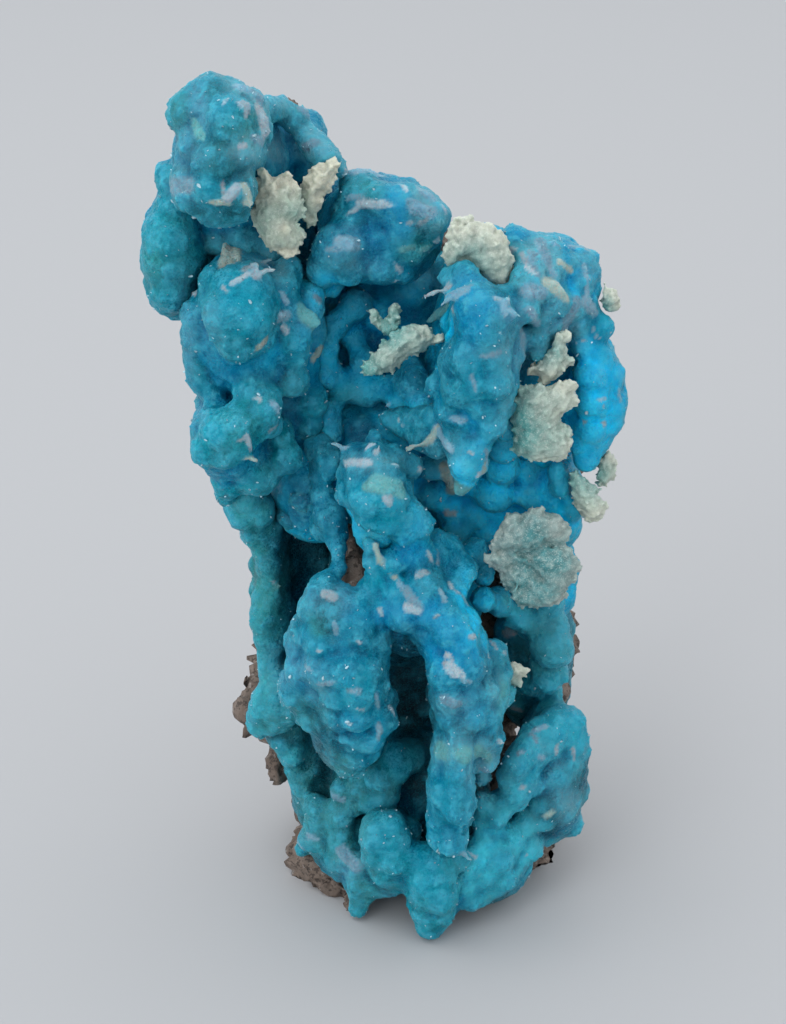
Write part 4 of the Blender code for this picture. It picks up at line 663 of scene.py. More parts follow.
CLOUDS = {
    "frost": [
        (-11.7, 76.0, 1.3, 1.2, 0.8), (-10.6, 75.2, 0.7, 1.4, 0.6), (-11.6, 71.2, 1.5, 1.2, 0.9),
        (-8.7, 75.2, 1.5, 0.8, 0.5), (-6.6, 71.8, 1.1, 1.2, 0.6), (-5.0, 71.1, 1.1, 0.9, 0.4),
        (2.6, 67.0, 1.5, 2.0, 0.6), (4.0, 66.0, 0.8, 1.6, 0.7), (-3.6, 61.6, 2.3, 0.9, 0.3),
        (12.7, 62.3, 1.8, 2.5, 0.6), (8.3, 53.8, 1.5, 0.6, 0.4), (-2.2, 43.8, 2.5, 0.8, 0.4),
        (10.0, 53.6, 1.3, 2.0, 0.5), (-10.3, 61.5, 1.4, 1.2, 0.5), (16.8, 8.5, 1.6, 1.6, 0.5),
        (5.0, 42.7, 1.4, 1.3, 0.7), (15.0, 56.2, 1.4, 1.6, 0.6), (-12.8, 61.5, 1.4, 1.2, 0.35),
        (8.4, 12.0, 1.3, 2.4, 0.6), (10.6, 20.8, 1.5, 1.4, 0.8),
        (10.1, 48.1, 0.9, 1.6, 0.4), (-6.3, 21.0, 1.5, 1.4, 0.35), (5.8, 14.4, 2.0, 1.4, 0.5),
        (8.4, 14.0, 0.9, 1.0, 0.5), (5.3, 19.4, 1.6, 1.0, 0.4), (-4.2, 2.1, 1.3, 1.2, 0.7),
        (-8.0, 5.1, 1.5, 1.0, 0.5),
    ],
    "green": [
        (-17.2, 74.4, 1.1, 1.4, 0.35), (-12.4, 73.2, 1.5, 1.4, 0.35), (-20.1, 62.3, 0.9, 2.2, 0.4),
        (-14.0, 47.2, 1.8, 1.6, 0.3), (-1.9, 68.0, 2.3, 0.9, 0.3), (1.6, 62.8, 2.3, 1.2, 0.5),
        (-3.7, 50.0, 1.8, 1.2, 0.4), (-6.6, 27.7, 1.1, 1.2, 0.5), (11.3, 20.0, 1.3, 2.0, 0.5),
        (-11.6, 30.3, 1.6, 5.9, 0.6), (13.6, 21.0, 2.7, 1.5, 0.6), (6.8, 42.0, 1.6, 1.4, 0.4),
    ],
    "lilac": [
        (-15.7, 74.5, 0.8, 2.7, 0.6), (-17.1, 71.1, 0.8, 1.4, 0.5), (-17.3, 68.0, 1.1, 1.0, 0.7),
        (-15.3, 56.7, 0.9, 2.0, 0.4), (-17.6, 54.9, 0.7, 4.9, 0.5), (-16.9, 48.4, 0.7, 1.0, 0.5),
        (-6.9, 56.7, 1.5, 1.6, 0.6), (-3.6, 63.4, 1.3, 1.2, 0.8), (-5.1, 62.8, 0.9, 0.8, 0.6),
        (5.2, 59.8, 2.3, 0.7, 0.4), (16.4, 61.9, 1.3, 1.4, 0.4), (11.9, 59.3, 0.9, 1.0, 0.6),
        (13.7, 55.8, 1.1, 2.7, 0.5), (9.6, 57.4, 1.1, 1.2, 0.6), (10.8, 54.0, 0.7, 2.5, 0.6),
        (1.7, 38.7, 1.1, 2.0, 0.4), (-5.2, 30.3, 1.6, 1.4, 0.6), (-7.6, 23.1, 1.1, 1.2, 0.4),
        (7.2, 18.7, 1.8, 2.2, 0.3), (-9.9, 23.6, 1.6, 2.4, 0.45), (14.3, 12.4, 2.6, 2.8, 0.35),
        (-5.0, 0.3, 1.1, 1.8, 0.6), (14.5, 28.3, 2.0, 2.4, 0.25),
    ],
    "bright": [
        (-13.2, 74.5, 1.3, 1.2, 0.4), (-15.2, 68.1, 0.9, 1.0, 0.6), (-13.1, 58.4, 1.8, 3.5, 0.9),
        (-15.4, 46.5, 0.9, 1.0, 0.7), (17.8, 56.2, 1.4, 1.4, 0.7), (7.5, 51.8, 2.7, 2.9, 0.4),
        (0.2, 46.7, 1.8, 1.2, 0.5), (-1.0, 38.7, 2.2, 2.0, 0.9), (-0.7, 32.3, 1.6, 2.4, 0.8),
        (-4.0, 21.0, 2.0, 1.8, 0.6), (12.9, 12.4, 1.1, 1.8, 0.6), (16.5, 17.0, 1.8, 2.0, 0.5),
        (-0.3, 5.7, 1.8, 2.5, 0.3), (3.6, 1.1, 1.8, 3.9, 0.4), (4.9, 9.1, 1.3, 3.4, 0.3),
    ],
    "azure": [
        (0.4, 66.6, 1.1, 1.8, 0.8), (-1.1, 63.8, 1.8, 2.0, 0.4), (6.5, 57.9, 1.6, 2.0, 0.8),
        (10.1, 64.2, 1.3, 0.8, 0.7), (14.5, 63.2, 0.5, 1.8, 0.7),
        (1.5, 34.8, 1.8, 1.4, 0.7), (4.3, 26.2, 3.1, 3.5, 1.0), (0.2, 28.5, 2.7, 0.9, 0.8),
    ],
    # painted glow: bright blue patches in shaded hollows, as if light shone through the crust
    "glow": [
        (7.9, 30.6, 1.8, 2.0, 0.8), (7.9, 27.4, 1.6, 1.6, 0.6), (-5.3, 58.9, 1.8, 1.4, 0.6),
        (13.6, 21.5, 1.8, 1.8, 0.25), (-10.5, 53.6, 1.6, 1.6, 0.25), (2.4, 36.9, 1.5, 1.4, 0.25),
        (10.6, 27.7, 1.6, 1.6, 0.25), (8.1, 18.4, 1.1, 1.4, 0.15), (-0.3, 15.1, 1.6, 2.0, 0.2),
        (5.0, 39.4, 1.6, 1.4, 0.35),
        (16.4, 46.8, 2.2, 2.4, 0.8), (9.6, 42.0, 2.6, 2.9, 0.7),
        (5.8, 40.4, 2.0, 2.6, 0.7), (8.6, 37.6, 1.8, 2.4, 0.6), (-6.0, 55.0, 2.2, 2.6, 0.3),
    ],
    "moss": [
        (-9.6, 17.8, 2.7, 2.0, 0.6), (13.9, 25.2, 3.2, 2.5, 0.5), (-5.4, 8.4, 2.8, 4.4, 0.8),
        (-7.6, 8.5, 1.8, 5.0, 0.6), (-3.5, 6.2, 1.1, 2.2, 0.6), (-3.4, -1.8, 1.7, 1.7, 0.6),
        (-5.6, 4.0, 1.6, 1.6, 0.4),
    ],
    # painted shade: darker patches where hollows of the crust lie in shade
    "deep": [
        (-8.2, 39.6, 1.5, 1.9, 0.7), (-8.2, 42.4, 1.5, 1.3, 0.4), (-2.9, 46.9, 1.5, 2.3, 0.7),
        (-5.2, 64.0, 1.3, 1.3, 0.7), (4.9, 53.6, 1.2, 1.7, 0.35), (0.8, 50.9, 2.4, 1.4, 0.45),
    ],
    # painted shade: near-black patches in the deepest gaps between the fingers and in the foot
    "painted_void_shade": [
        (1.7, 21.6, 1.5, 4.4, 0.9), (-6.6, 12.6, 0.7, 2.2, 0.6), (2.4, 9.9, 1.0, 1.6, 0.5),
        (-5.8, 29.2, 0.8, 3.4, 0.5),
    ],
}
# Cloud tones. The glow tone is a painted glow; the deep tone and the darkest tone are painted shade.
CLOUD_TONES = {
    "frost": (0.160, 0.370, 0.430), "lilac": (0.085, 0.265, 0.375), "bright": (0.000, 0.265, 0.375),
    "azure": (0.000, 0.230, 0.430), "green": (0.035, 0.250, 0.230), "glow": (0.010, 0.580, 0.900),
    "deep": (0.000, 0.070, 0.150), "moss": (0.035, 0.190, 0.200), "painted_void_shade": (0.006, 0.022, 0.034),
}
SETTLE = {
    "crown": 0.55, "left": 0.1, "back": 0.45, "ridge": 0.2, "middle": 0.0, "fingers": 0.0,
    "foot": 0.0,
}
# The tone of the bed behind each region's lumps. The beds behind the fingers and the foot are painted
# dark as shade; those behind the ridge and the middle are painted bright as a glow through the crust.
BED = {
    "crown": "deep", "left": "deep", "back": "deep", "ridge": "painted_glow_bed", "middle": "painted_glow_bed",
    "fingers": "painted_pit_shade", "foot": "painted_pit_shade",
}
SKIN_VOXEL = {
    "crown": 0.00025, "left": 0.00025, "back": 0.00030, "ridge": 0.00027, "middle": 0.00027,
    "fingers": 0.00025, "foot": 0.00031,
}
CALM = np.array([0.02, 0.22, 0.32])
# painted shade: how much the creases between lumps are darkened, for red, green and blue
CREASE_PAINTED_SHADE = np.array([0.60, 0.36, 0.24])
LUMP_KNOBS = 9
LUMP_CRYSTALS = 9
MASS_KNOBS = 80
FLAKE_BLADES = 3
TIP_LIGHT = 0.00034
PLATE = 0.00085
GRAIN = 0.00050
GOLDEN_ANGLE = 2.39996
BATCH = 4000


def on_middle_plane(points):
    """The millimetres (x, z) at which the line of sight to each point crosses the upright middle
    plane: eye + (point - eye) * sight / (point y - eye y)."""
    reach = (points[:, 1] - EYE[1]) / SIGHT
    return np.stack([(points[:, 0] - EYE[0]) / reach, EYE[2] + (points[:, 2] - EYE[2]) / reach],
                    axis=-1) * 1000.0


def sight_cosine(points, normals):
    """The cosine of the angle between each normal and the line of sight."""
    sight = EYE - points
    return (normals * sight).sum(axis=1) / np.linalg.norm(sight, axis=1)


def toward(tint, tone, share):
    """The tint moved towards the tone by each point's share: tint + (tone - tint) * share."""
    return tint + (tone - tint) * share[:, None]


def clouded(tint, points, normals, drift):
    """The tint with each cloud of the table mixed in by strength * exp(-away^3), where away is the
    distance over the cloud's half-width and half-height, on faces that turn to the front."""
    flat = on_middle_plane(points)
    front = np.clip(sight_cosine(points, normals) * 1.6 + 0.3, 0.0, 1.0)
    for kind, rows in CLOUDS.items():
        for x, z, wide, high, strength in rows:
            away = np.hypot((flat[:, 0] - x) / wide, (flat[:, 1] - z) / high) * (0.85 + 0.35 * drift)
            share = np.minimum(1.4 * strength * np.exp(-np.clip(away, 0.0, 3.0) ** 3) * front, 0.9)
            tint = toward(tint, np.array(CLOUD_TONES[kind]), share)
    return tint


def turned_away(points, normals):
    """0 on faces that turn to the front, 1 on those that turn to the sides, the back and below:
    1 - (2.2 * cosine to the line of sight - 0.1), held between 0 and 1."""
    return 1.0 - np.clip(2.2 * sight_cosine(points, normals) - 0.1, 0.0, 1.0)


def chance_at(places, seed):
    """A fixed random number from 0 to 1 for each table row: the decimals of a large sine."""
    value = np.sin(places[:, 0] * 12.9898 + places[:, 1] * 78.233 + seed * 37.719) * 43758.5453
    return value - np.floor(value)


def lump_knobs(centres, radii, each, low, high, seed):
    """Small knobs over every lump: directions from a golden-angle spiral with a random lean. A
    knob of radius s is set at 1 - 0.65 * s / radius of the way out, so a third of it stands proud."""
    chance = np.random.default_rng(seed)
    k = np.arange(each) + 0.5
    height = 1.0 - 2.0 * k / each
    turn = k * GOLDEN_ANGLE
    flat = np.sqrt(1.0 - height ** 2)
    spiral = np.stack([flat * np.cos(turn), flat * np.sin(turn), height], axis=-1)
    ways = spiral[None] + chance.normal(0.0, 0.30, (len(centres), each, 3))
    ways /= np.linalg.norm(ways, axis=2, keepdims=True)
    sizes = low[:, None] + (high - low)[:, None] * chance.random((len(centres), each)) ** 1.6
    reach = 1.0 - 0.65 * sizes / radii.mean(axis=1)[:, None]
    places = centres[:, None, :] + ways * radii[:, None, :] * reach[:, :, None]
    return places.reshape(-1, 3), np.repeat(sizes.reshape(-1, 1), 3, axis=1)


def across(ways, chance):
    """Two directions square to each way: one random, and way x that one."""
    side = np.cross(ways, chance.normal(size=ways.shape))
    side /= np.linalg.norm(side, axis=1, keepdims=True)
    return side, np.cross(ways, side)


STATIONS = np.array([0.0, 0.18, 0.45, 0.72, 0.90, 1.0])
FULLNESS = np.array([0.55, 0.78, 0.95, 1.00, 0.74, 0.30])


def blades(roots, tips, widths, flats, chance, ragged=0.12, facing=None):
    """Flat crystals: six-sided rings carried from root to tip, each ring of half-width
    width * fullness(station) and half-thickness flat * fullness(station). Their broad side turns
    to the facing, or else at random."""
    along = tips - roots
    ways = along / np.linalg.norm(along, axis=1, keepdims=True)
    side, back = across(ways, chance)
    if facing is not None:
        side = np.cross(ways, facing)
        side /= np.linalg.norm(side, axis=1, keepdims=True)
        back = np.cross(side, ways)
    t = np.arange(6) * np.pi / 3
    wobble = 1.0 + chance.normal(0.0, ragged, (len(roots), len(STATIONS), 6))
    wide = (widths[:, None, None] * FULLNESS[None, :, None] * np.cos(t) * wobble)[..., None]
    deep = (flats[:, None, None] * FULLNESS[None, :, None] * np.sin(t) * wobble)[..., None]
    line = roots[:, None, None, :] + along[:, None, None, :] * STATIONS[None, :, None, None]
    return line + side[:, None, None, :] * wide + back[:, None, None, :] * deep


def closed_ends(rings):
    """The same rings with each end drawn together to its middle, which closes the shape."""
    first = np.repeat(rings[:, :1].mean(axis=2, keepdims=True), rings.shape[2], axis=2)
    last = np.repeat(rings[:, -1:].mean(axis=2, keepdims=True), rings.shape[2], axis=2)
    return np.concatenate([first, rings, last], axis=1)


def set_crystals(centres, radii, each, grain, chance):
    """Angular crystals set in the skin of the lumps: blades whose middle lies on the surface and
    whose length turns from lying along it to leaning outwards, way = t cos a + n sin a."""
    count = len(centres) * each
    n = chance.normal(size=(count, 3))
    n[:, 1] -= 0.4
    n /= np.linalg.norm(n, axis=1, keepdims=True)
    t = across(n, chance)[0]
    a = chance.uniform(0.05, 0.95, (count, 1))
    ways = t * np.cos(a) + n * np.sin(a)
    size = np.repeat(grain, each)[:, None] * np.exp(chance.normal(0.0, 0.30, (count, 1)))
    surface = np.repeat(centres, each, axis=0) + n * np.repeat(radii, each, axis=0) * 1.01
    roots = surface - ways * size * 0.00050
    tips = surface + ways * size * 0.00034
    widths = size[:, 0] * chance.uniform(0.00020, 0.00036, count)
    return closed_ends(blades(roots, tips, widths, widths * 0.62, chance)), tips


def nearest_mix(points, centres, radii, values, blur):
    """The values of the lumps around each point, weighted by exp(-(distance / radius) / blur)."""
    mixed = np.empty((len(points), values.shape[1]))
    for start in range(0, len(points), BATCH):
        part = points[start:start + BATCH]
        away = np.linalg.norm((part[:, None, :] - centres[None]) / radii[None], axis=2)
        weight = np.exp(-(away - away.min(axis=1, keepdims=True)) / blur)
        mixed[start:start + BATCH] = (weight @ values) / weight.sum(axis=1, keepdims=True)
    return mixed


def averaged(values, edges, times):
    """Each point takes the mean of its neighbours' values, this many times."""
    count = len(values)
    ends = np.concatenate([edges, edges[:, ::-1]])
    share = np.bincount(ends[:, 0], minlength=count)[:, None]
    for _ in range(times):
        values = np.stack([np.bincount(ends[:, 0], column[ends[:, 1]], count)
                           for column in values.T], axis=-1) / share
    return values


def soften(mesh, points, edges, rounds):
    """For each (share, times) the points move that share of the way to their neighbours' mean,
    taken that many times. Gives the new points."""
    for share, times in rounds:
        points = points + share * (averaged(points, edges, times) - points)
    write_points(mesh, points)
    return points


def paint(mesh, name, colours):
    """Keeps one colour for each point of the mesh in an attribute."""
    layer = mesh.color_attributes.new(name, "FLOAT_COLOR", "POINT")
    filled = np.concatenate([np.clip(colours, 0.0, 1.0), np.ones((len(colours), 1))], axis=1)
    layer.data.foreach_set("color", filled.astype(np.float32).ravel())


def inside_rock(points):
    """Which points lie within a lump of the matrix."""
    deepest = np.full(len(points), 9.0)
    for centre, radius in zip(rock_places, rock_radii):
        deepest = np.minimum(deepest, (((points - centre) / radius) ** 2).sum(axis=1))
    return deepest < 0.9


FLAKES = {
    "white": [
        (-13.8, 74.8, -13.2, 75.4, 0.3), (-12.0, 74.9, -11.8, 74.0, 0.7),
        (-10.9, 74.4, -10.3, 72.5, 1.0), (-13.7, 67.2, -12.6, 68.3, 0.7),
        (-14.0, 68.3, -14.0, 67.6, 0.3), (-12.4, 71.4, -12.0, 71.5, 0.5),
        (-11.4, 70.6, -11.1, 70.9, 0.4), (-12.3, 61.2, -10.9, 61.9, 0.8),
        (-11.5, 60.6, -9.5, 61.1, 0.8), (-13.5, 59.9, -12.1, 60.8, 0.5),
        (-10.6, 61.7, -10.1, 62.1, 0.5), (-3.9, 69.5, -3.5, 69.0, 0.5), (-9.3, 56.2, -9.0, 55.7, 0.5),
        (-11.8, 49.7, -11.5, 49.6, 0.4), (-10.7, 46.7, -10.0, 47.3, 0.3),
        (-12.8, 46.2, -12.3, 44.9, 0.5), (-16.9, 59.3, -16.4, 59.0, 0.4),
        (-14.4, 59.7, -14.0, 59.3, 0.4), (-13.3, 45.8, -13.0, 46.0, 0.4), (-2.7, 66.7, -0.2, 66.6, 0.7),
        (-3.9, 65.9, -2.9, 66.2, 0.3), (1.2, 65.0, 1.6, 65.1, 0.4), (2.2, 65.0, 2.9, 65.4, 0.4),
        (3.7, 63.8, 3.8, 63.1, 0.5), (0.1, 61.7, 0.7, 60.9, 0.3), (0.1, 59.8, 0.3, 60.1, 0.3),
        (4.0, 67.0, 4.5, 65.8, 0.5), (0.9, 68.3, 1.2, 67.7, 0.5), (2.1, 58.4, 4.7, 59.6, 0.7),
        (4.8, 57.9, 5.1, 57.4, 0.5), (9.7, 62.8, 10.2, 62.8, 0.5), (10.8, 62.4, 11.2, 61.7, 0.5),
        (11.2, 61.3, 11.9, 60.8, 0.5), (16.7, 56.2, 17.3, 55.1, 0.3), (16.1, 54.9, 16.6, 54.7, 0.3),
        (15.5, 54.6, 15.7, 54.8, 0.3), (8.6, 58.5, 8.9, 58.4, 0.3), (9.7, 59.0, 9.8, 58.2, 0.5),
        (9.0, 55.7, 9.3, 55.5, 0.3), (18.0, 47.5, 18.4, 47.0, 0.3), (16.5, 47.4, 16.8, 47.3, 0.3),
        (-2.4, 45.1, -1.1, 45.8, 0.5), (-1.5, 44.7, -1.0, 45.7, 0.5), (0.4, 47.8, 1.0, 46.7, 0.2),
        (-4.1, 43.7, -2.0, 43.7, 0.7), (0.1, 43.5, 0.9, 43.3, 0.3), (-0.6, 40.3, -0.3, 39.7, 0.6),
        (2.4, 43.2, 2.6, 42.8, 0.4), (7.5, 42.6, 7.9, 42.0, 0.5), (6.7, 44.7, 7.1, 44.4, 0.3),
        (4.7, 38.8, 5.6, 38.8, 0.6), (3.2, 35.1, 3.4, 33.7, 0.4), (2.2, 32.7, 3.1, 33.1, 0.6),
        (1.3, 29.5, 2.4, 29.1, 0.7), (-6.2, 30.9, -5.4, 30.6, 0.8), (-1.2, 29.3, -1.0, 28.5, 0.4),
        (-3.2, 26.2, -2.9, 25.9, 0.3), (-6.9, 25.1, -6.6, 24.9, 0.3), (-0.5, 19.3, 0.3, 18.2, 0.3),
        (-3.4, 19.1, -2.6, 18.9, 0.2), (-4.4, 17.6, -3.8, 17.3, 0.3), (-1.4, 24.7, -1.0, 24.4, 0.3),
        (-11.1, 32.0, -10.5, 32.1, 0.3), (5.0, 31.9, 5.3, 31.4, 0.4), (3.7, 28.5, 4.1, 28.8, 0.3),
        (4.9, 24.4, 5.4, 24.1, 0.5), (5.2, 23.7, 6.4, 22.5, 0.7), (7.1, 26.5, 7.5, 26.5, 0.5),
        (8.3, 24.7, 8.9, 24.4, 0.3), (8.9, 26.0, 9.6, 25.2, 0.4), (10.3, 27.2, 11.0, 26.8, 0.7),
        (10.2, 25.0, 10.5, 24.7, 0.4), (11.2, 19.3, 12.0, 18.7, 0.5), (10.0, 15.5, 10.8, 15.2, 0.5),
        (15.3, 15.1, 15.4, 14.0, 0.3), (16.8, 15.0, 17.1, 13.7, 0.3), (12.0, 10.6, 12.4, 10.4, 0.5),
        (12.6, 3.7, 12.9, 2.8, 0.3), (7.4, 3.2, 7.8, 2.5, 0.4), (8.6, 1.4, 8.4, 0.7, 0.3),
    ],
    "cream": [
        (-14.9, 66.7, -13.6, 66.7, 0.6), (-12.2, 68.3, -11.9, 66.7, 0.7),
        (-12.1, 66.9, -11.4, 66.5, 0.7), (-13.8, 63.2, -13.9, 61.5, 1.4),
        (-13.2, 63.0, -12.9, 61.9, 0.6), (-6.7, 53.2, -6.0, 54.2, 0.8), (-12.8, 44.1, -11.5, 43.7, 0.6),
        (-11.5, 54.2, -10.8, 55.1, 0.7), (13.9, 61.7, 14.8, 60.9, 0.5), (13.0, 60.0, 14.7, 58.7, 1.1),
        (1.0, 44.8, 3.0, 45.6, 0.8), (3.0, 45.7, 4.1, 46.9, 0.7), (4.5, 43.4, 5.2, 40.7, 1.0),
        (7.8, 43.7, 8.2, 42.2, 0.5), (-1.5, 36.2, -1.0, 34.1, 0.6), (-1.0, 34.3, 0.3, 32.5, 0.5),
        (14.5, 7.4, 15.2, 7.7, 0.6),
    ],
    "lilac": [
        (-11.3, 75.8, -10.6, 74.9, 0.7), (-12.6, 76.4, -11.7, 75.8, 0.7),
        (-18.1, 68.1, -16.8, 68.1, 1.4), (-11.0, 71.9, -10.5, 71.5, 0.5),
        (-11.6, 72.2, -11.1, 71.8, 0.5), (-7.5, 74.5, -6.5, 73.7, 0.6), (-7.2, 71.3, -6.1, 71.9, 0.7),
        (-9.9, 57.0, -8.8, 57.1, 0.9), (-9.4, 59.0, -8.9, 58.3, 0.5), (-6.6, 58.8, -6.1, 58.4, 0.5),
        (-10.4, 49.3, -9.6, 48.0, 0.6), (-5.7, 45.7, -4.1, 45.2, 0.8), (-3.1, 69.3, -1.2, 69.2, 1.1),
        (-3.9, 67.2, -2.5, 67.2, 0.5), (-4.2, 63.5, -2.9, 63.3, 1.5), (-5.6, 62.9, -4.6, 62.6, 0.5),
        (1.8, 66.3, 3.1, 66.0, 1.1), (2.2, 67.8, 3.2, 67.2, 0.9), (3.4, 57.4, 6.3, 59.4, 0.6),
        (4.0, 58.8, 6.6, 59.8, 0.5), (12.2, 63.6, 12.9, 61.7, 0.8), (11.6, 62.6, 12.0, 60.6, 0.6),
        (12.9, 61.7, 13.6, 60.6, 0.5), (13.3, 63.8, 13.9, 63.1, 0.5), (11.3, 59.3, 12.4, 59.1, 1.2),
        (11.6, 57.6, 12.1, 56.2, 0.7), (15.5, 58.3, 14.5, 56.5, 1.0), (14.6, 56.5, 13.9, 54.7, 1.2),
        (16.0, 61.4, 16.2, 58.8, 0.5), (16.3, 58.4, 17.2, 57.2, 1.0), (14.9, 63.1, 16.2, 62.8, 0.6),
        (9.0, 58.6, 9.6, 57.0, 0.6), (10.0, 57.4, 11.1, 56.7, 0.7), (10.9, 55.8, 10.9, 52.0, 0.7),
        (7.8, 53.5, 9.3, 53.8, 0.5), (6.8, 51.7, 7.1, 50.0, 0.3), (17.8, 49.5, 18.5, 49.7, 0.4),
        (18.1, 48.9, 18.5, 48.3, 0.3), (19.3, 50.4, 19.6, 49.7, 0.4), (-0.9, 48.8, -0.4, 49.1, 0.5),
        (3.9, 46.9, 5.0, 44.9, 0.8), (5.3, 47.7, 6.2, 47.5, 0.6), (8.1, 44.9, 8.3, 43.7, 0.4),
        (3.8, 35.1, 3.9, 33.7, 0.5), (-2.9, 35.3, -2.7, 32.8, 0.5), (1.2, 31.3, 2.3, 29.7, 0.8),
        (0.5, 32.0, 1.0, 31.3, 0.5), (-5.4, 28.1, -5.1, 27.0, 0.5), (-8.1, 23.5, -7.6, 22.9, 0.5),
        (-6.6, 21.6, -5.3, 21.8, 0.5), (-3.8, 21.0, -3.2, 21.0, 0.6), (-1.7, 20.6, -1.5, 19.3, 0.5),
        (-1.4, 17.4, -1.2, 15.7, 0.5), (5.7, 31.1, 6.6, 29.7, 0.5), (4.3, 31.3, 4.7, 30.1, 0.4),
        (6.5, 22.0, 7.3, 21.8, 0.5), (13.2, 16.7, 14.3, 17.2, 0.5), (12.8, 16.2, 13.4, 15.5, 0.5),
        (11.9, 14.4, 14.3, 13.7, 0.5), (4.7, 20.0, 6.2, 19.3, 0.9), (8.2, 12.6, 9.2, 11.9, 0.5),
        (-6.0, 9.6, -4.6, 9.1, 0.7), (-5.1, 3.4, -3.4, 0.9, 0.9), (-8.0, 5.0, -6.5, 4.4, 0.7),
        (-9.3, 4.6, -8.7, 3.4, 0.5), (6.7, 2.9, 7.8, 2.1, 0.7),
    ],
    "sea": [
        (-15.9, 73.7, -15.3, 72.2, 0.8), (-7.6, 57.4, -6.0, 56.2, 1.6), (0.7, 62.8, 1.6, 63.0, 0.5),
        (2.2, 62.6, 3.1, 63.1, 0.5), (3.1, 56.5, 4.5, 57.9, 1.4), (-1.5, 41.8, 0.8, 41.1, 1.5),
        (5.5, 41.6, 6.8, 40.6, 1.3), (-10.5, 31.7, -9.8, 31.7, 0.6), (4.4, 14.6, 7.2, 13.9, 1.6),
        (7.8, 14.6, 8.9, 13.5, 1.1),
    ],
}
FLAKE_TONES = {
    "white": (0.34, 0.40, 0.44), "cream": (0.36, 0.41, 0.36), "lilac": (0.20, 0.33, 0.41),
    "sea": (0.13, 0.35, 0.36),
}


def strike(flat, centres, radii):
    """Where the line of sight through each (x, z) first enters an oval: with o = (eye - centre) /
    radii and w = way / radii, at the smaller s for which |o + s w| = 1. Gives the points, the
    outward ways there and the numbers of the ovals, which are -1 where the line misses them all."""
    ways = seen(flat[:, 0], flat[:, 1], 0.0 * flat[:, 0]) - EYE
    o, w = (EYE - centres) / radii, ways[:, None, :] / radii
    a, b, c = (w ** 2).sum(axis=2), (w * o).sum(axis=2), (o ** 2).sum(axis=1) - 1.0
    inner = b ** 2 - a * c
    entry = np.where(inner > 0.0, (-b - np.sqrt(np.maximum(inner, 0.0))) / a, np.inf)
    first = entry.argmin(axis=1)
    met = np.isfinite(entry.min(axis=1))
    points = EYE + ways * np.where(met, entry.min(axis=1), 1.0)[:, None]
    out = (points - centres[first]) / radii[first] ** 2
    return points, out / np.linalg.norm(out, axis=1, keepdims=True), np.where(met, first, -1)


def lay_flakes(rows, centres, radii, chance):
    """Three overlapping blades for each flake: roots, tips, half-widths, facings and the number of
    the oval under each, or -1 where both ends miss them all. The ends lie on the ovals; an end
    that misses them, or lies much deeper than the other, takes the other's depth."""
    hits = [strike(rows[:, k:k + 2], centres, radii) for k in (0, 2)]
    deep = np.stack([np.where(hit[2] < 0, 9.0, hit[0][:, 1]) for hit in hits])
    nearer = deep.argmin(axis=0)
    pick = np.arange(len(rows))
    facing = np.stack([hit[1] for hit in hits])[nearer, pick]
    under = np.stack([hit[2] for hit in hits])[nearer, pick]
    length = np.linalg.norm(rows[:, 2:4] - rows[:, 0:2], axis=1) * MM
    apart = np.abs(deep[0] - deep[1]) > 1.2 * length + 0.0003
    deep = (np.where(apart, deep.min(axis=0), deep) - EYE[1] - SIGHT) * 1000.0
    roots, tips = (seen(rows[:, k], rows[:, k + 1], deep[k // 2]) for k in (0, 2))
    sight = EYE - roots
    facing = facing + 1.2 * sight / np.linalg.norm(sight, axis=1, keepdims=True)
    facing /= np.linalg.norm(facing, axis=1, keepdims=True)
    roots, tips, facing, under, width = (
        np.repeat(part, FLAKE_BLADES, axis=0) for part in (roots, tips, facing, under, rows[:, 4:5]))
    follow = (np.arange(len(roots)) % FLAKE_BLADES > 0)[:, None]
    shift = chance.normal(0.0, 0.00030, (len(roots), 3)) * np.minimum(width, 1.0) * follow
    reach = np.where(follow, chance.uniform(0.45, 0.9, follow.shape), 1.0)
    halves = width * 0.0005 * np.where(follow, chance.uniform(0.40, 0.75, follow.shape), 0.9)
    starts = roots + shift + facing * 0.00010
    ends = roots + (tips - roots) * reach + shift + facing * 0.00024
    return starts, ends, halves[:, 0], facing, under


def flaked(tint, points, starts, ends, halves, tones):
    """The tint with each flake's tone on the points near its axis: all of it up to 0.95 of the
    half-width away, and none beyond 1.35 of it."""
    along = ends - starts
    for start in range(0, len(points) if len(starts) else 0, BATCH):
        part = points[start:start + BATCH]
        share = ((part[:, None] - starts) * along).sum(axis=2) / (along ** 2).sum(axis=1)
        axis = starts + np.clip(share, 0.0, 1.0)[:, :, None] * along
        cover = np.clip((1.35 - np.linalg.norm(part[:, None] - axis, axis=2) / halves) / 0.40, 0.0, 1.0)
        best = cover.argmax(axis=1)
        most = cover[np.arange(len(part)), best][:, None]
        tint[start:start + BATCH] += (tones[best] - tint[start:start + BATCH]) * most
    return tint


crust_finish, place, shader = start_finish("blue_crust", {
    "Roughness": 0.34, "Subsurface Weight": 0.80, "Subsurface Radius": (0.25, 0.80, 1.0),
    "Subsurface Scale": 0.0014, "Specular IOR Level": 0.10})
grown = place.node("ShaderNodeAttribute", {"attribute_name": "tint"})
frost = place.speckle(0.00040, 4.0).steps(0.50, 0.72)
colour = (frost * 0.14).mixed(grown, (0.01, 0.40, 0.53))
shadowy = grown.node("ShaderNodeVectorMath", {"operation": "MULTIPLY"},
                     {0: grown, 1: (0.45, 0.74, 0.86)})
colour = (place.speckle(0.0012, 2.0).steps(0.38, 0.62) * 0.30).mixed(colour, shadowy)
sugar = place.speckle(0.00013, 1.0).steps(0.45, 0.70)
colour = (sugar * 0.22).mixed(colour, (0.02, 0.42, 0.53))
# painted shade: small dark specks stand for the shade in the tiny gaps between grains
gaps = place.speckle(0.00018, 2.0).steps(0.56, 0.72)
colour = (gaps * 0.17).mixed(colour, (0.00, 0.11, 0.17))
place.tree.links.new(colour.socket, shader.inputs["Base Color"])


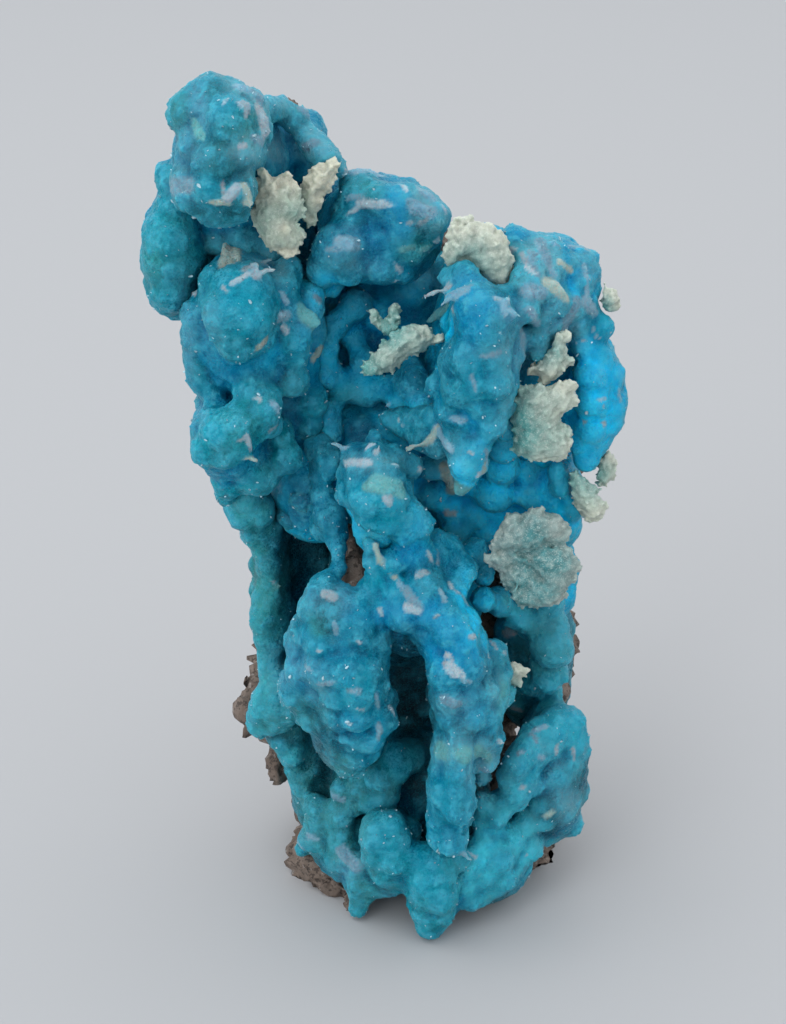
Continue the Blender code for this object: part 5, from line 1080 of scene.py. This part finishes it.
def sparkle(place, size, strength):
    """The normal turned at random, flat within each small cell, so that the cells glint apart."""
    cells = place.node("ShaderNodeTexVoronoi", {"feature": "F1"},
                       {"Vector": place, "Scale": 1.0 / size}, output=1)
    lean = place.node("ShaderNodeVectorMath", {"operation": "SUBTRACT"},
                      {0: cells, 1: (0.5, 0.5, 0.5)})
    where = place.speckle(0.0016, 2.0).steps(0.35, 0.65)
    lean = place.node("ShaderNodeVectorMath", {"operation": "SCALE"},
                      {0: lean, "Scale": (where * 0.7 + 0.3) * strength})
    straight = place.node("ShaderNodeTexCoord", output=1)
    return place.node("ShaderNodeVectorMath", {"operation": "NORMALIZE"}, {
        0: place.node("ShaderNodeVectorMath", {"operation": "ADD"}, {0: straight, 1: lean})})


bump = place.node("ShaderNodeBump", None, {
    "Strength": 0.8, "Distance": 0.00010, "Height": place.speckle(0.00024, 3.0),
    "Normal": sparkle(place, 0.00017, 0.95)})
place.tree.links.new(bump.socket, shader.inputs["Normal"])

FROSTED = np.array([0.07, 0.39, 0.50])
# painted sheen: the pale tone given to the raised rims of the lumps
PAINTED_RIM_SHEEN = np.array([0.045, 0.310, 0.410])
SMOKY = np.array([0.095, 0.255, 0.285])
AZURE_CORE = np.array([0.000, 0.190, 0.370])
chance = np.random.default_rng(21)
crystal_roots, crystal_ways, crystal_grain, crystal_rise, lumps_of = [], [], [], [], {}
for region, (mass_rows, groups) in CRUST.items():
    rows = np.concatenate([np.array(lumps) for tone, grain, lumps in groups])
    radius = rows[:, 3] * MM * (0.80 + 0.30 * chance_at(rows, 1))
    forward = 0.0006 * (chance_at(rows, 2) - 0.5) * 2.0
    lump_places = seen(rows[:, 0], rows[:, 1] - SETTLE[region], rows[:, 2])
    lump_places += np.stack([0 * radius, radius * 0.35 + forward, 0 * radius], axis=-1)
    masses = np.array(mass_rows)
    lumps_of[region] = (
        np.concatenate([lump_places, seen(*masses[:, 0:3].T)]),
        np.concatenate([radius[:, None] * np.array([1.0, 1.35, 1.0]), masses[:, 3:6] * MM]))
owner = np.repeat(np.arange(len(lumps_of)), [len(places) for places, radii in lumps_of.values()])
flake_rows = np.concatenate([np.array(rows) for rows in FLAKES.values()])
flake_tones = np.concatenate([np.tile(FLAKE_TONES[kind], (FLAKE_BLADES * len(rows), 1))
                              for kind, rows in FLAKES.items()])
flake_starts, flake_ends, flake_halves, flake_facings, under = lay_flakes(
    flake_rows, *(np.concatenate(parts) for parts in zip(*lumps_of.values())), chance)

for number, (region, (mass_rows, groups)) in enumerate(CRUST.items()):
    values = np.concatenate([np.tile((*TONES[tone], grain), (len(lumps), 1))
                             for tone, grain, lumps in groups])
    rows = np.concatenate([np.array(lumps) for tone, grain, lumps in groups])
    values[:, 0:3] *= (0.86 + 0.28 * chance_at(rows, 3))[:, None]
    places, radii = lumps_of[region]
    lump_places, mass_places = np.split(places, [len(rows)])
    lump_radii, mass_radii = np.split(radii, [len(rows)])
    radius = lump_radii[:, 0]
    small_places, small_radii = lump_knobs(lump_places, lump_radii, LUMP_KNOBS,
                                           radius * 0.22, radius * 0.44, number)
    crystals, crystal_tips = set_crystals(lump_places, lump_radii, LUMP_CRYSTALS, values[:, 3], chance)
    same = np.full(len(mass_rows), 1.0)
    bed_places, bed_radii = lump_knobs(mass_places, mass_radii * 0.97, MASS_KNOBS,
                                       same * 0.0005, same * 0.0014, 40 + number)
    mine = (under >= 0) & (owner[under] == number)
    starts, ends, halves = flake_starts[mine], flake_ends[mine], flake_halves[mine]
    thin = np.clip(halves * 0.70, 0.00017, 0.00030)
    shapes = [ovals(mass_places, mass_radii * 0.97, 24, 14), ovals(lump_places, lump_radii, 18, 12),
              ovals(small_places, small_radii, 10, 7), ovals(bed_places, bed_radii, 12, 8), crystals,
              closed_ends(blades(starts, ends, halves, thin, chance, 0.22, flake_facings[mine]))]
    skin = skin_over(f"crust_{region}", shapes, SKIN_VOXEL[region])
    spots, edges = read_points(skin.data), read_edges(skin.data)
    bed_values = np.tile((*TONES[BED[region]], 0.8), (len(mass_rows) + len(bed_places), 1))
    blended = nearest_mix(
        spots, np.concatenate([lump_places, mass_places, bed_places]),
        np.concatenate([lump_radii, mass_radii * 0.98, bed_radii]),
        np.concatenate([values, bed_values]), 0.10)
    tint, grain = blended[:, 0:3], blended[:, 3]
    soften(skin.data, spots, edges, [(0.7, 2), (0.44, 22)])
    flat, own = tilted_facets(spots, PLATE, 12)
    small, speck = tilted_facets(spots, GRAIN, 14)
    move_points(skin, grain * (0.00013 * flat + 0.00006 * small + 0.00010 * swell(spots, 0.0030, 9)))
    spots, normals = read_points(skin.data), read_normals(skin.data)
    rise = ((spots - averaged(spots, edges, 16)) * normals).sum(axis=1) / 0.00014
    rise = np.clip(averaged(rise[:, None], edges, 1)[:, 0], -1.0, 1.0)
    cloud = np.clip(0.5 + 0.5 * swell(spots, 0.0042, 10) + 0.25 * swell(spots, 0.0016, 11), 0.0, 1.0)
    painted_rim_light = np.clip(rise, 0.0, 1.0)
    # painted shade: the hollows between lumps, by how far the skin sinks below its neighbours
    painted_crease_shade = np.clip(-rise, 0.0, 1.0)[:, None]
    tint = tint * ((0.80 + 0.34 * cloud) * (1.0 + 0.15 * own + 0.09 * speck))[:, None]
    drift = swell(spots, 0.0034, 17) + 0.5 * swell(spots, 0.0013, 18)
    tint = toward(tint, SMOKY, 0.42 * np.clip(-0.9 * drift, 0.0, 1.0))
    tint = toward(tint, AZURE_CORE, 0.42 * np.clip(0.9 * drift, 0.0, 1.0))
    tint = clouded(tint, spots, normals, swell(spots, 0.0018, 13))
    # the painted glow and bright tones stay on faces that turn to the front; faces turned away are held
    # to a dimmer tone
    tint = toward(tint, np.minimum(tint, CALM), turned_away(spots, normals))
    tips = KDTree(len(crystal_tips))
    for index, tip in enumerate(crystal_tips):
        tips.insert(tip, index)
    tips.balance()
    found = np.array([tips.find(spot)[1:3] for spot in spots])
    glow = chance.uniform(0.0, 0.6, len(crystal_tips))[found[:, 0].astype(int)]
    lit = np.exp(-(found[:, 1] / TIP_LIGHT) ** 2) * glow
    tint = toward(tint, FROSTED, lit)
    # painted light: the raised rims of the lumps are made paler, as a painted sheen
    tint = toward(tint, PAINTED_RIM_SHEEN, painted_rim_light * 0.32)
    plates = np.clip(3.0 * own - 1.2, 0.0, 1.0) + np.clip(3.0 * speck - 1.8, 0.0, 1.0)
    plates = plates * grain * np.clip(0.45 + 0.7 * rise + 0.5 * swell(spots, 0.0030, 16), 0.0, 1.0)
    tint = toward(tint, FROSTED, np.clip(plates * 0.52, 0.0, 0.6))
    # painted shade: the creases between lumps are darkened
    tint = tint * (1.0 - painted_crease_shade * CREASE_PAINTED_SHADE)
    tones = flake_tones[mine] * chance.uniform(0.75, 1.15, (len(starts), 1))
    tint = flaked(tint, spots, starts, ends, halves, tones)
    paint(skin.data, "tint", tint)
    skin.data.materials.append(crust_finish)
    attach(skin, "root")
    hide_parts("blue_crust")
    shown = np.flatnonzero(~inside_rock(spots) & (spots[:, 2] > 0.0004) & (rise > -0.4))
    picked = chance.choice(shown, len(shown) // 30, replace=False)
    crystal_roots.append(spots[picked])
    crystal_ways.append(normals[picked])
    crystal_grain.append(grain[picked])
    crystal_rise.append(rise[picked])


# Small bright crystals: white blades a tenth of a millimetre long that stand on the crust and
# catch the light. Each one's root is sunk into the crust that it has grown on.
def capped(rings):
    """The points and faces of ringed shapes, with a flat face across each end."""
    count, rows, around = rings.shape[:3]
    start = np.arange(count)[:, None] * rows * around
    ring = np.arange(around)[None]
    ends = np.concatenate([start + ring[:, ::-1], start + (rows - 1) * around + ring])
    return rings.reshape(-1, 3), [ring_faces(count, rows, around), ends]


BRIGHT_CRYSTALS = 2300
BRIGHT_LENGTH = 0.00011
chance = np.random.default_rng(33)
roots, ways = np.concatenate(crystal_roots), np.concatenate(crystal_ways)
coarse, rises = np.concatenate(crystal_grain), np.concatenate(crystal_rise)
likely = np.clip(rises, 0.02, 1.0) * np.clip(coarse, 0.5, 1.3) ** 2
loose = chance.choice(len(roots), BRIGHT_CRYSTALS, replace=False, p=likely / likely.sum())
ways = ways[loose] + chance.normal(0.0, 0.6, (len(loose), 3))
ways /= np.linalg.norm(ways, axis=1, keepdims=True)
lengths = BRIGHT_LENGTH * np.exp(chance.normal(0.0, 0.40, (len(loose), 1)))
halves = lengths[:, 0] * chance.uniform(0.35, 0.7, len(loose))
rings = blades(roots[loose] - ways * 0.0001, roots[loose] + ways * lengths, halves, halves * 0.5, chance)
points, faces = capped(rings[:, [0, 3, 5]])
points[:, 2] = np.maximum(points[:, 2], 0.0)
mesh = mesh_of("bright_crystals", points, faces)
milk = np.array([0.42, 0.64, 0.72]) * chance.uniform(0.6, 1.1, (len(rings), 1))
paint(mesh, "tint", np.repeat(milk, 3 * rings.shape[2], axis=0))
bright_finish, place, shader = start_finish("bright_crystal", {
    "Roughness": 0.25, "Specular IOR Level": 0.5})
grown = place.node("ShaderNodeAttribute", {"attribute_name": "tint"})
place.tree.links.new(grown.socket, shader.inputs["Base Color"])
mesh.materials.append(bright_finish)
bright = bpy.data.objects.new("bright_crystals", mesh)
bpy.context.scene.collection.objects.link(bright)
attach(bright, "root")


# The pale clusters: cream to sea-green fans of bladed crystals. Each one is grown together from
# its root, sits in its own nest in the crust, and ends in a ragged, translucent edge.
FANS = {
    "pale_cluster_crown": [
        ((-10.5, 64.8, -4.2), [
            (-11.2, 69.0), (-10.7, 69.8), (-10.2, 69.0), (-9.6, 68.8), (-9.2, 68.6), (-8.9, 69.0),
            (-8.7, 69.3), (-8.4, 68.8), (-7.9, 68.5), (-7.7, 67.8), (-7.5, 67.0), (-7.3, 66.3),
            (-7.4, 65.7), (-7.8, 65.3), (-8.0, 65.2), (-7.7, 64.6), (-7.2, 64.2), (-7.4, 63.8),
            (-7.7, 63.1), (-8.1, 62.9), (-8.3, 62.2), (-8.6, 62.8), (-8.7, 62.1), (-9.1, 62.3),
            (-9.5, 62.7), (-10.2, 62.8), (-10.6, 63.3), (-10.9, 64.1), (-11.3, 64.8), (-11.7, 65.5),
            (-11.5, 66.3), (-11.2, 67.0), (-11.4, 67.8),
        ]),
        ((-7.7, 65.2, -2.4), [
            (-7.6, 68.2), (-7.0, 69.3), (-6.5, 69.7), (-5.8, 70.0), (-5.1, 70.3), (-4.7, 70.4),
            (-4.4, 69.9), (-4.7, 69.2), (-4.9, 68.3), (-5.2, 67.8), (-5.8, 67.3), (-5.8, 66.7),
            (-6.2, 66.2), (-6.5, 65.6), (-6.4, 65.0), (-7.0, 64.8), (-7.5, 65.5), (-7.5, 66.3),
            (-7.7, 67.2),
        ]),
    ],
    "pale_cluster_ridge": [
        ((6.4, 61.2, -4.0), [
            (4.9, 65.2), (5.5, 65.5), (6.4, 65.6), (7.2, 65.3), (8.0, 65.0), (8.6, 64.7), (9.2, 64.1),
            (9.6, 63.3), (9.9, 62.4), (10.1, 61.5), (10.0, 60.5), (9.7, 59.8), (9.2, 59.3), (8.6, 59.3),
            (8.0, 59.8), (7.5, 60.3), (6.8, 60.5), (6.3, 61.7), (5.8, 61.7), (5.2, 61.2), (4.5, 61.2),
            (4.3, 61.7), (4.2, 62.6), (4.4, 63.6), (4.7, 64.3),
        ]),
    ],
    "pale_blades_hollow": [
        ((-2.5, 52.0, -3.2), [
            (-2.8, 52.0), (-2.3, 52.9), (-1.8, 53.5), (-1.3, 54.2), (-0.6, 54.8), (-0.1, 55.3),
            (0.4, 55.8), (1.1, 56.2), (1.8, 56.3), (2.5, 56.2), (3.1, 56.0), (3.6, 55.5), (4.3, 55.2),
            (4.5, 54.8), (3.8, 54.7), (3.1, 54.4), (2.6, 53.8), (2.1, 53.6), (1.5, 53.7), (0.9, 53.1),
            (0.3, 52.5), (-0.4, 52.1), (-1.3, 51.9), (-2.1, 51.7),
        ]),
        ((-0.3, 55.5, -1.4), [
            (-0.8, 55.5), (-2.1, 57.3), (-1.9, 57.6), (-0.6, 56.0), (-0.4, 57.7), (0.3, 58.4),
            (0.6, 57.7), (0.5, 56.2), (0.3, 55.3),
        ]),
    ],
    "pale_cluster_shoulder": [
        ((13.9, 54.0, -5.4), [
            (11.7, 52.4), (12.4, 52.8), (13.0, 53.5), (13.4, 54.0), (13.7, 54.7), (13.8, 55.5),
            (14.7, 55.6), (15.2, 55.3), (14.7, 54.7), (14.6, 54.0), (14.7, 53.4), (15.4, 53.4),
            (15.6, 53.1), (15.1, 52.7), (14.5, 52.2), (14.3, 51.7), (13.6, 51.3), (13.0, 51.0),
            (12.4, 51.7),
        ]),
    ],
    "pale_cluster_middle": [
        ((10.7, 46.7, -6.2), [
            (10.7, 50.6), (11.3, 50.9), (11.9, 50.7), (12.6, 51.0), (13.3, 50.6), (14.0, 51.0),
            (14.7, 51.1), (15.4, 51.2), (15.8, 50.8), (15.5, 50.1), (15.9, 49.7), (16.0, 49.4),
            (15.6, 48.9), (15.1, 48.5), (14.6, 48.2), (14.5, 47.7), (14.7, 47.1), (15.4, 46.9),
            (15.6, 46.5), (15.3, 45.9), (15.6, 45.4), (15.4, 44.9), (15.2, 44.2), (14.6, 43.8),
            (13.7, 44.0), (12.9, 43.8), (12.0, 43.9), (11.6, 44.4), (10.9, 44.4), (10.4, 44.8),
            (10.5, 45.8), (10.7, 46.7), (10.2, 47.7), (10.3, 48.4), (10.4, 49.0), (10.8, 49.7),
        ]),
    ],
    "pale_cluster_side": [
        ((16.0, 43.0, -2.6), [
            (15.6, 42.9), (16.2, 42.8), (16.8, 42.2), (17.3, 41.7), (17.9, 41.1), (18.3, 40.3),
            (18.8, 39.8), (18.8, 39.0), (18.3, 38.1), (17.5, 38.2), (16.8, 38.4), (16.4, 39.2),
            (16.0, 39.9), (15.7, 40.6), (15.7, 41.5), (15.5, 42.2),
        ]),
    ],
    "pale_cluster_edge": [
        ((18.0, 42.8, -0.8), [
            (18.1, 44.4), (18.6, 44.6), (19.1, 44.5), (19.5, 43.9), (19.5, 43.2), (19.4, 42.3),
            (19.0, 41.7), (18.5, 41.4), (18.0, 41.5), (17.9, 42.2), (18.1, 43.2), (17.9, 43.9),
        ]),
    ],
    "pale_cluster_lower": [
        ((12.4, 35.8, -5.4), [
            (8.8, 35.8), (9.0, 36.4), (9.4, 37.2), (9.6, 38.1), (10.3, 39.0), (11.0, 38.9),
            (11.6, 38.6), (12.0, 39.0), (12.1, 39.3), (13.1, 39.3), (13.7, 38.9), (14.4, 38.7),
            (15.1, 38.5), (15.4, 37.7), (15.7, 36.9), (15.6, 36.2), (14.9, 35.8), (14.2, 35.7),
            (13.6, 35.5), (12.7, 35.1), (11.5, 35.1), (10.5, 35.2), (9.6, 35.3), (8.9, 35.2),
        ]),
        ((12.5, 34.1, -4.8), [
            (8.1, 34.2), (8.7, 34.9), (9.6, 35.3), (10.6, 35.1), (11.7, 35.0), (12.6, 34.7),
            (12.8, 33.9), (12.3, 33.1), (11.4, 33.7), (10.7, 33.7), (10.0, 33.2), (9.1, 33.5),
        ]),
        ((13.6, 34.4, -5.2), [
            (12.4, 35.2), (13.4, 35.8), (14.8, 36.0), (15.7, 35.4), (15.9, 34.2), (15.2, 33.2),
            (14.0, 33.0), (12.9, 33.4), (12.5, 34.2),
        ]),
        ((12.2, 33.6, -4.4), [
            (9.6, 33.4), (10.6, 33.9), (12.0, 34.3), (13.2, 33.8), (13.6, 32.4), (13.2, 31.2),
            (12.2, 30.7), (11.0, 30.9), (10.2, 31.5), (9.7, 32.4),
        ]),
        ((12.2, 31.5, -5.4), [
            (12.8, 34.7), (13.8, 35.5), (14.9, 35.4), (15.7, 35.6), (16.2, 34.8), (16.8, 33.7),
            (16.5, 32.5), (16.0, 31.8), (15.6, 31.3), (15.5, 30.5), (14.8, 29.9), (13.6, 29.6),
            (12.4, 29.5), (11.3, 29.8), (10.7, 30.6), (10.8, 31.3), (11.8, 31.1), (12.7, 31.5),
            (12.9, 32.8), (12.6, 33.7),
        ]),
    ],
    "pale_tuft_recess": [
        ((10.3, 21.0, -5.4), [
            (9.9, 21.6), (10.1, 22.9), (10.7, 23.7), (11.5, 23.8), (12.0, 23.3), (12.5, 23.3),
            (12.3, 22.8), (11.9, 22.3), (11.7, 21.4), (11.0, 21.6), (10.4, 21.0),
        ]),
    ],
    "pale_tip_corner": [
        ((17.8, 57.9, -1.4), [
            (17.6, 58.9), (17.9, 59.3), (18.4, 59.5), (18.9, 59.0), (19.2, 58.1), (18.8, 57.5),
            (18.3, 57.4), (17.8, 57.7),
        ]),
    ],
}
CREAMY = {
    "pale_cluster_crown": 0.60, "pale_cluster_ridge": 0.15, "pale_blades_hollow": 0.25,
    "pale_cluster_shoulder": 0.30, "pale_cluster_middle": 0.0, "pale_cluster_side": 0.15,
    "pale_cluster_edge": 0.20, "pale_cluster_lower": 0.05, "pale_tuft_recess": 0.20,
    "pale_tip_corner": 0.20,
}
SHADE = {"pale_cluster_lower": (0.72, 0.76, 0.84), "pale_cluster_crown": (1.06, 0.99, 0.94)}
CLUSTER_VOXEL = 0.00016
LAYER_SHRINK = (1.0, 0.97, 0.86, 0.72, 0.56, 0.40)
LAYER_DEPTH = 0.4
EDGE_BULGE = 1.3


def inside(flat, outline):
    """Which flat points lie inside a closed outline: a line to the right crosses it an odd number
    of times."""
    x, z = flat[:, 0:1], flat[:, 1:2]
    (x0, z0), (x1, z1) = outline.T, np.roll(outline, -1, axis=0).T
    rise = np.where(z1 == z0, 1e-9, z1 - z0)
    crossed = ((z0 > z) != (z1 > z)) & (x < x0 + (z - z0) / rise * (x1 - x0))
    return crossed.sum(axis=1) % 2 == 1


def edge_gap(flat, outline):
    """Distance from each flat point to the outline: the nearest place on each side from a to b is
    a + (b - a) * clamp((p - a) . (b - a) / |b - a|^2)."""
    side = np.roll(outline, -1, axis=0) - outline
    share = ((flat[:, None] - outline) * side).sum(axis=2) / np.maximum((side ** 2).sum(axis=1), 1e-9)
    nearest = outline + np.clip(share, 0.0, 1.0)[:, :, None] * side
    return np.linalg.norm(flat[:, None] - nearest, axis=2).min(axis=1)


def fan(root, outline, chance):
    """Blades that fill an outline in layers, each layer 0.4 mm deeper and drawn in towards the
    root. They point away from the root, and the front bulges: depth + 1.3 (1 - e)^2, where e is
    the distance to the edge over 1.5 mm, up to 1. Small teeth stand out along the edge, and round
    lumps fill the gaps behind."""
    middle, depth, shapes = np.array(root[0:2]), root[2], []
    low, high = outline.min(axis=0), outline.max(axis=0)
    for layer, shrink in enumerate(LAYER_SHRINK):
        shape = middle + (outline - middle) * shrink
        count = int(np.prod(high - low) / 0.34 ** 2 * shrink ** 2) + 4
        flat = chance.uniform(low, high, (count, 2))
        flat = flat[inside(flat, shape)]
        gap = edge_gap(flat, shape)
        flat, gap = flat[gap > 0.10], gap[gap > 0.10]
        out = flat - middle
        out /= np.linalg.norm(out, axis=1, keepdims=True) + 1e-9
        out += chance.normal(0.0, 0.30, out.shape)
        size = chance.uniform(0.38, 0.72, len(flat)) * np.clip(0.60 + gap, 0.60, 1.0)
        back = depth + LAYER_DEPTH * layer + EDGE_BULGE * (1.0 - np.clip(gap / 1.5, 0.0, 1.0)) ** 2
        lean = chance.normal(-0.10, 0.20, len(flat))
        starts = seen(*(flat - out * size[:, None] * 0.6).T, back + 0.2 - lean * size)
        tips = seen(*(flat + out * size[:, None] * 0.5).T, back + lean * size)
        wide = size * chance.uniform(0.00030, 0.00046, len(flat))
        shapes.append(closed_ends(blades(starts, tips, wide, wide * 0.75, chance)))
    after = np.roll(outline, -1, axis=0)
    side = after - outline
    long = np.linalg.norm(side, axis=1)
    turn = np.sign((outline[:, 0] * after[:, 1] - outline[:, 1] * after[:, 0]).sum())
    which = np.repeat(np.arange(len(outline)), np.ceil(long / 0.22).astype(int))
    flat = outline[which] + side[which] * chance.random((len(which), 1))
    out = np.stack([side[which, 1], -side[which, 0]], axis=-1) * turn / long[which, None]
    out += chance.normal(0.0, 0.35, out.shape)
    back = depth + chance.uniform(0.7, 1.6, len(flat))
    starts = seen(*(flat - out * 0.60).T, back + 0.1)
    tips = seen(*(flat + out * chance.uniform(-0.05, 0.32, (len(flat), 1))).T, back - 0.1)
    wide = chance.uniform(0.00014, 0.00024, len(flat))
    shapes.append(closed_ends(blades(starts, tips, wide, wide * 0.8, chance)))
    flat = chance.uniform(low, high, (int(np.prod(high - low) / 0.50 ** 2), 2))
    gap = edge_gap(flat, outline) * np.where(inside(flat, outline), 1.0, -1.0)
    flat, gap = flat[gap > 0.35], gap[gap > 0.35]
    size = np.clip(gap * 0.8, 0.35, 0.70)[:, None] * np.array([1.0, 1.4, 1.0]) * MM
    back = depth + 0.8 + EDGE_BULGE * (1.0 - np.clip(gap / 1.5, 0.0, 1.0)) ** 2
    return [np.concatenate(shapes), ovals(seen(*flat.T, back), size, 10, 7)]


CREAM = np.array([0.50, 0.53, 0.44])
SEA_GREEN = np.array([0.10, 0.33, 0.31])
cluster_finish, place, shader = start_finish("pale_crystal", {
    "Roughness": 0.32, "Subsurface Weight": 0.5, "Subsurface Radius": (0.8, 0.9, 0.8),
    "Subsurface Scale": 0.0006, "Specular IOR Level": 0.4})
grown = place.node("ShaderNodeAttribute", {"attribute_name": "tint"})
veil = place.speckle(0.0006, 4.0).steps(0.42, 0.70)
colour = (veil * 0.30).mixed(grown, (0.56, 0.60, 0.54))
colour = (place.speckle(0.00022, 2.0).steps(0.52, 0.72) * 0.26).mixed(colour, (0.10, 0.19, 0.18))
colour = (place.speckle(0.00013, 1.0).steps(0.52, 0.72) * 0.38).mixed(colour, (0.66, 0.70, 0.64))
place.tree.links.new(colour.socket, shader.inputs["Base Color"])
bump = place.node("ShaderNodeBump", None, {
    "Strength": 0.5, "Distance": 0.00010, "Height": place.speckle(0.00035, 4.0),
    "Normal": sparkle(place, 0.00030, 0.4)})
place.tree.links.new(bump.socket, shader.inputs["Normal"])
for number, (name, groups) in enumerate(FANS.items()):
    chance = np.random.default_rng(50 + number)
    shapes = [part for root, rows in groups for part in fan(root, np.array(rows), chance)]
    cluster = skin_over(f"{name}_crystals", shapes, CLUSTER_VOXEL)
    here, edges = read_points(cluster.data), read_edges(cluster.data)
    softer = soften(cluster.data, here, edges, [(0.5, 1), (0.12, 4)])
    flat, own = tilted_facets(here, 0.00045, 64)
    move_points(cluster, 0.00013 * flat)
    flat_places = on_middle_plane(here)
    near = np.min([np.linalg.norm(flat_places - root[0:2], axis=1) for root, rows in groups], axis=0)
    reach = max(np.linalg.norm(np.array(rows) - root[0:2], axis=1).max() for root, rows in groups)
    far = near / reach * 1.35 - 0.22 + CREAMY[name] + 0.30 * swell(here, 0.0014, 61)
    far = np.clip(far, 0.0, 1.0)[:, None]
    rise = ((softer - averaged(softer, edges, 8)) * read_normals(cluster.data)).sum(axis=1) / 0.00008
    local = SEA_GREEN + (CREAM - SEA_GREEN) * far
    local = local * np.array(SHADE.get(name, (1.0, 1.0, 1.0)))
    # random mottle with painted light and shade: raised parts of the cluster paler, hollows darker
    mottle_and_painted_relief_light = 0.92 + 0.12 * swell(here, 0.0010, 62) + 0.10 * own + 0.12 * np.clip(rise, -1.0, 1.0)
    local = local * mottle_and_painted_relief_light[:, None]
    paint(cluster.data, "tint", local)
    cluster.data.materials.append(cluster_finish)
    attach(cluster, "root")
    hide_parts(name)
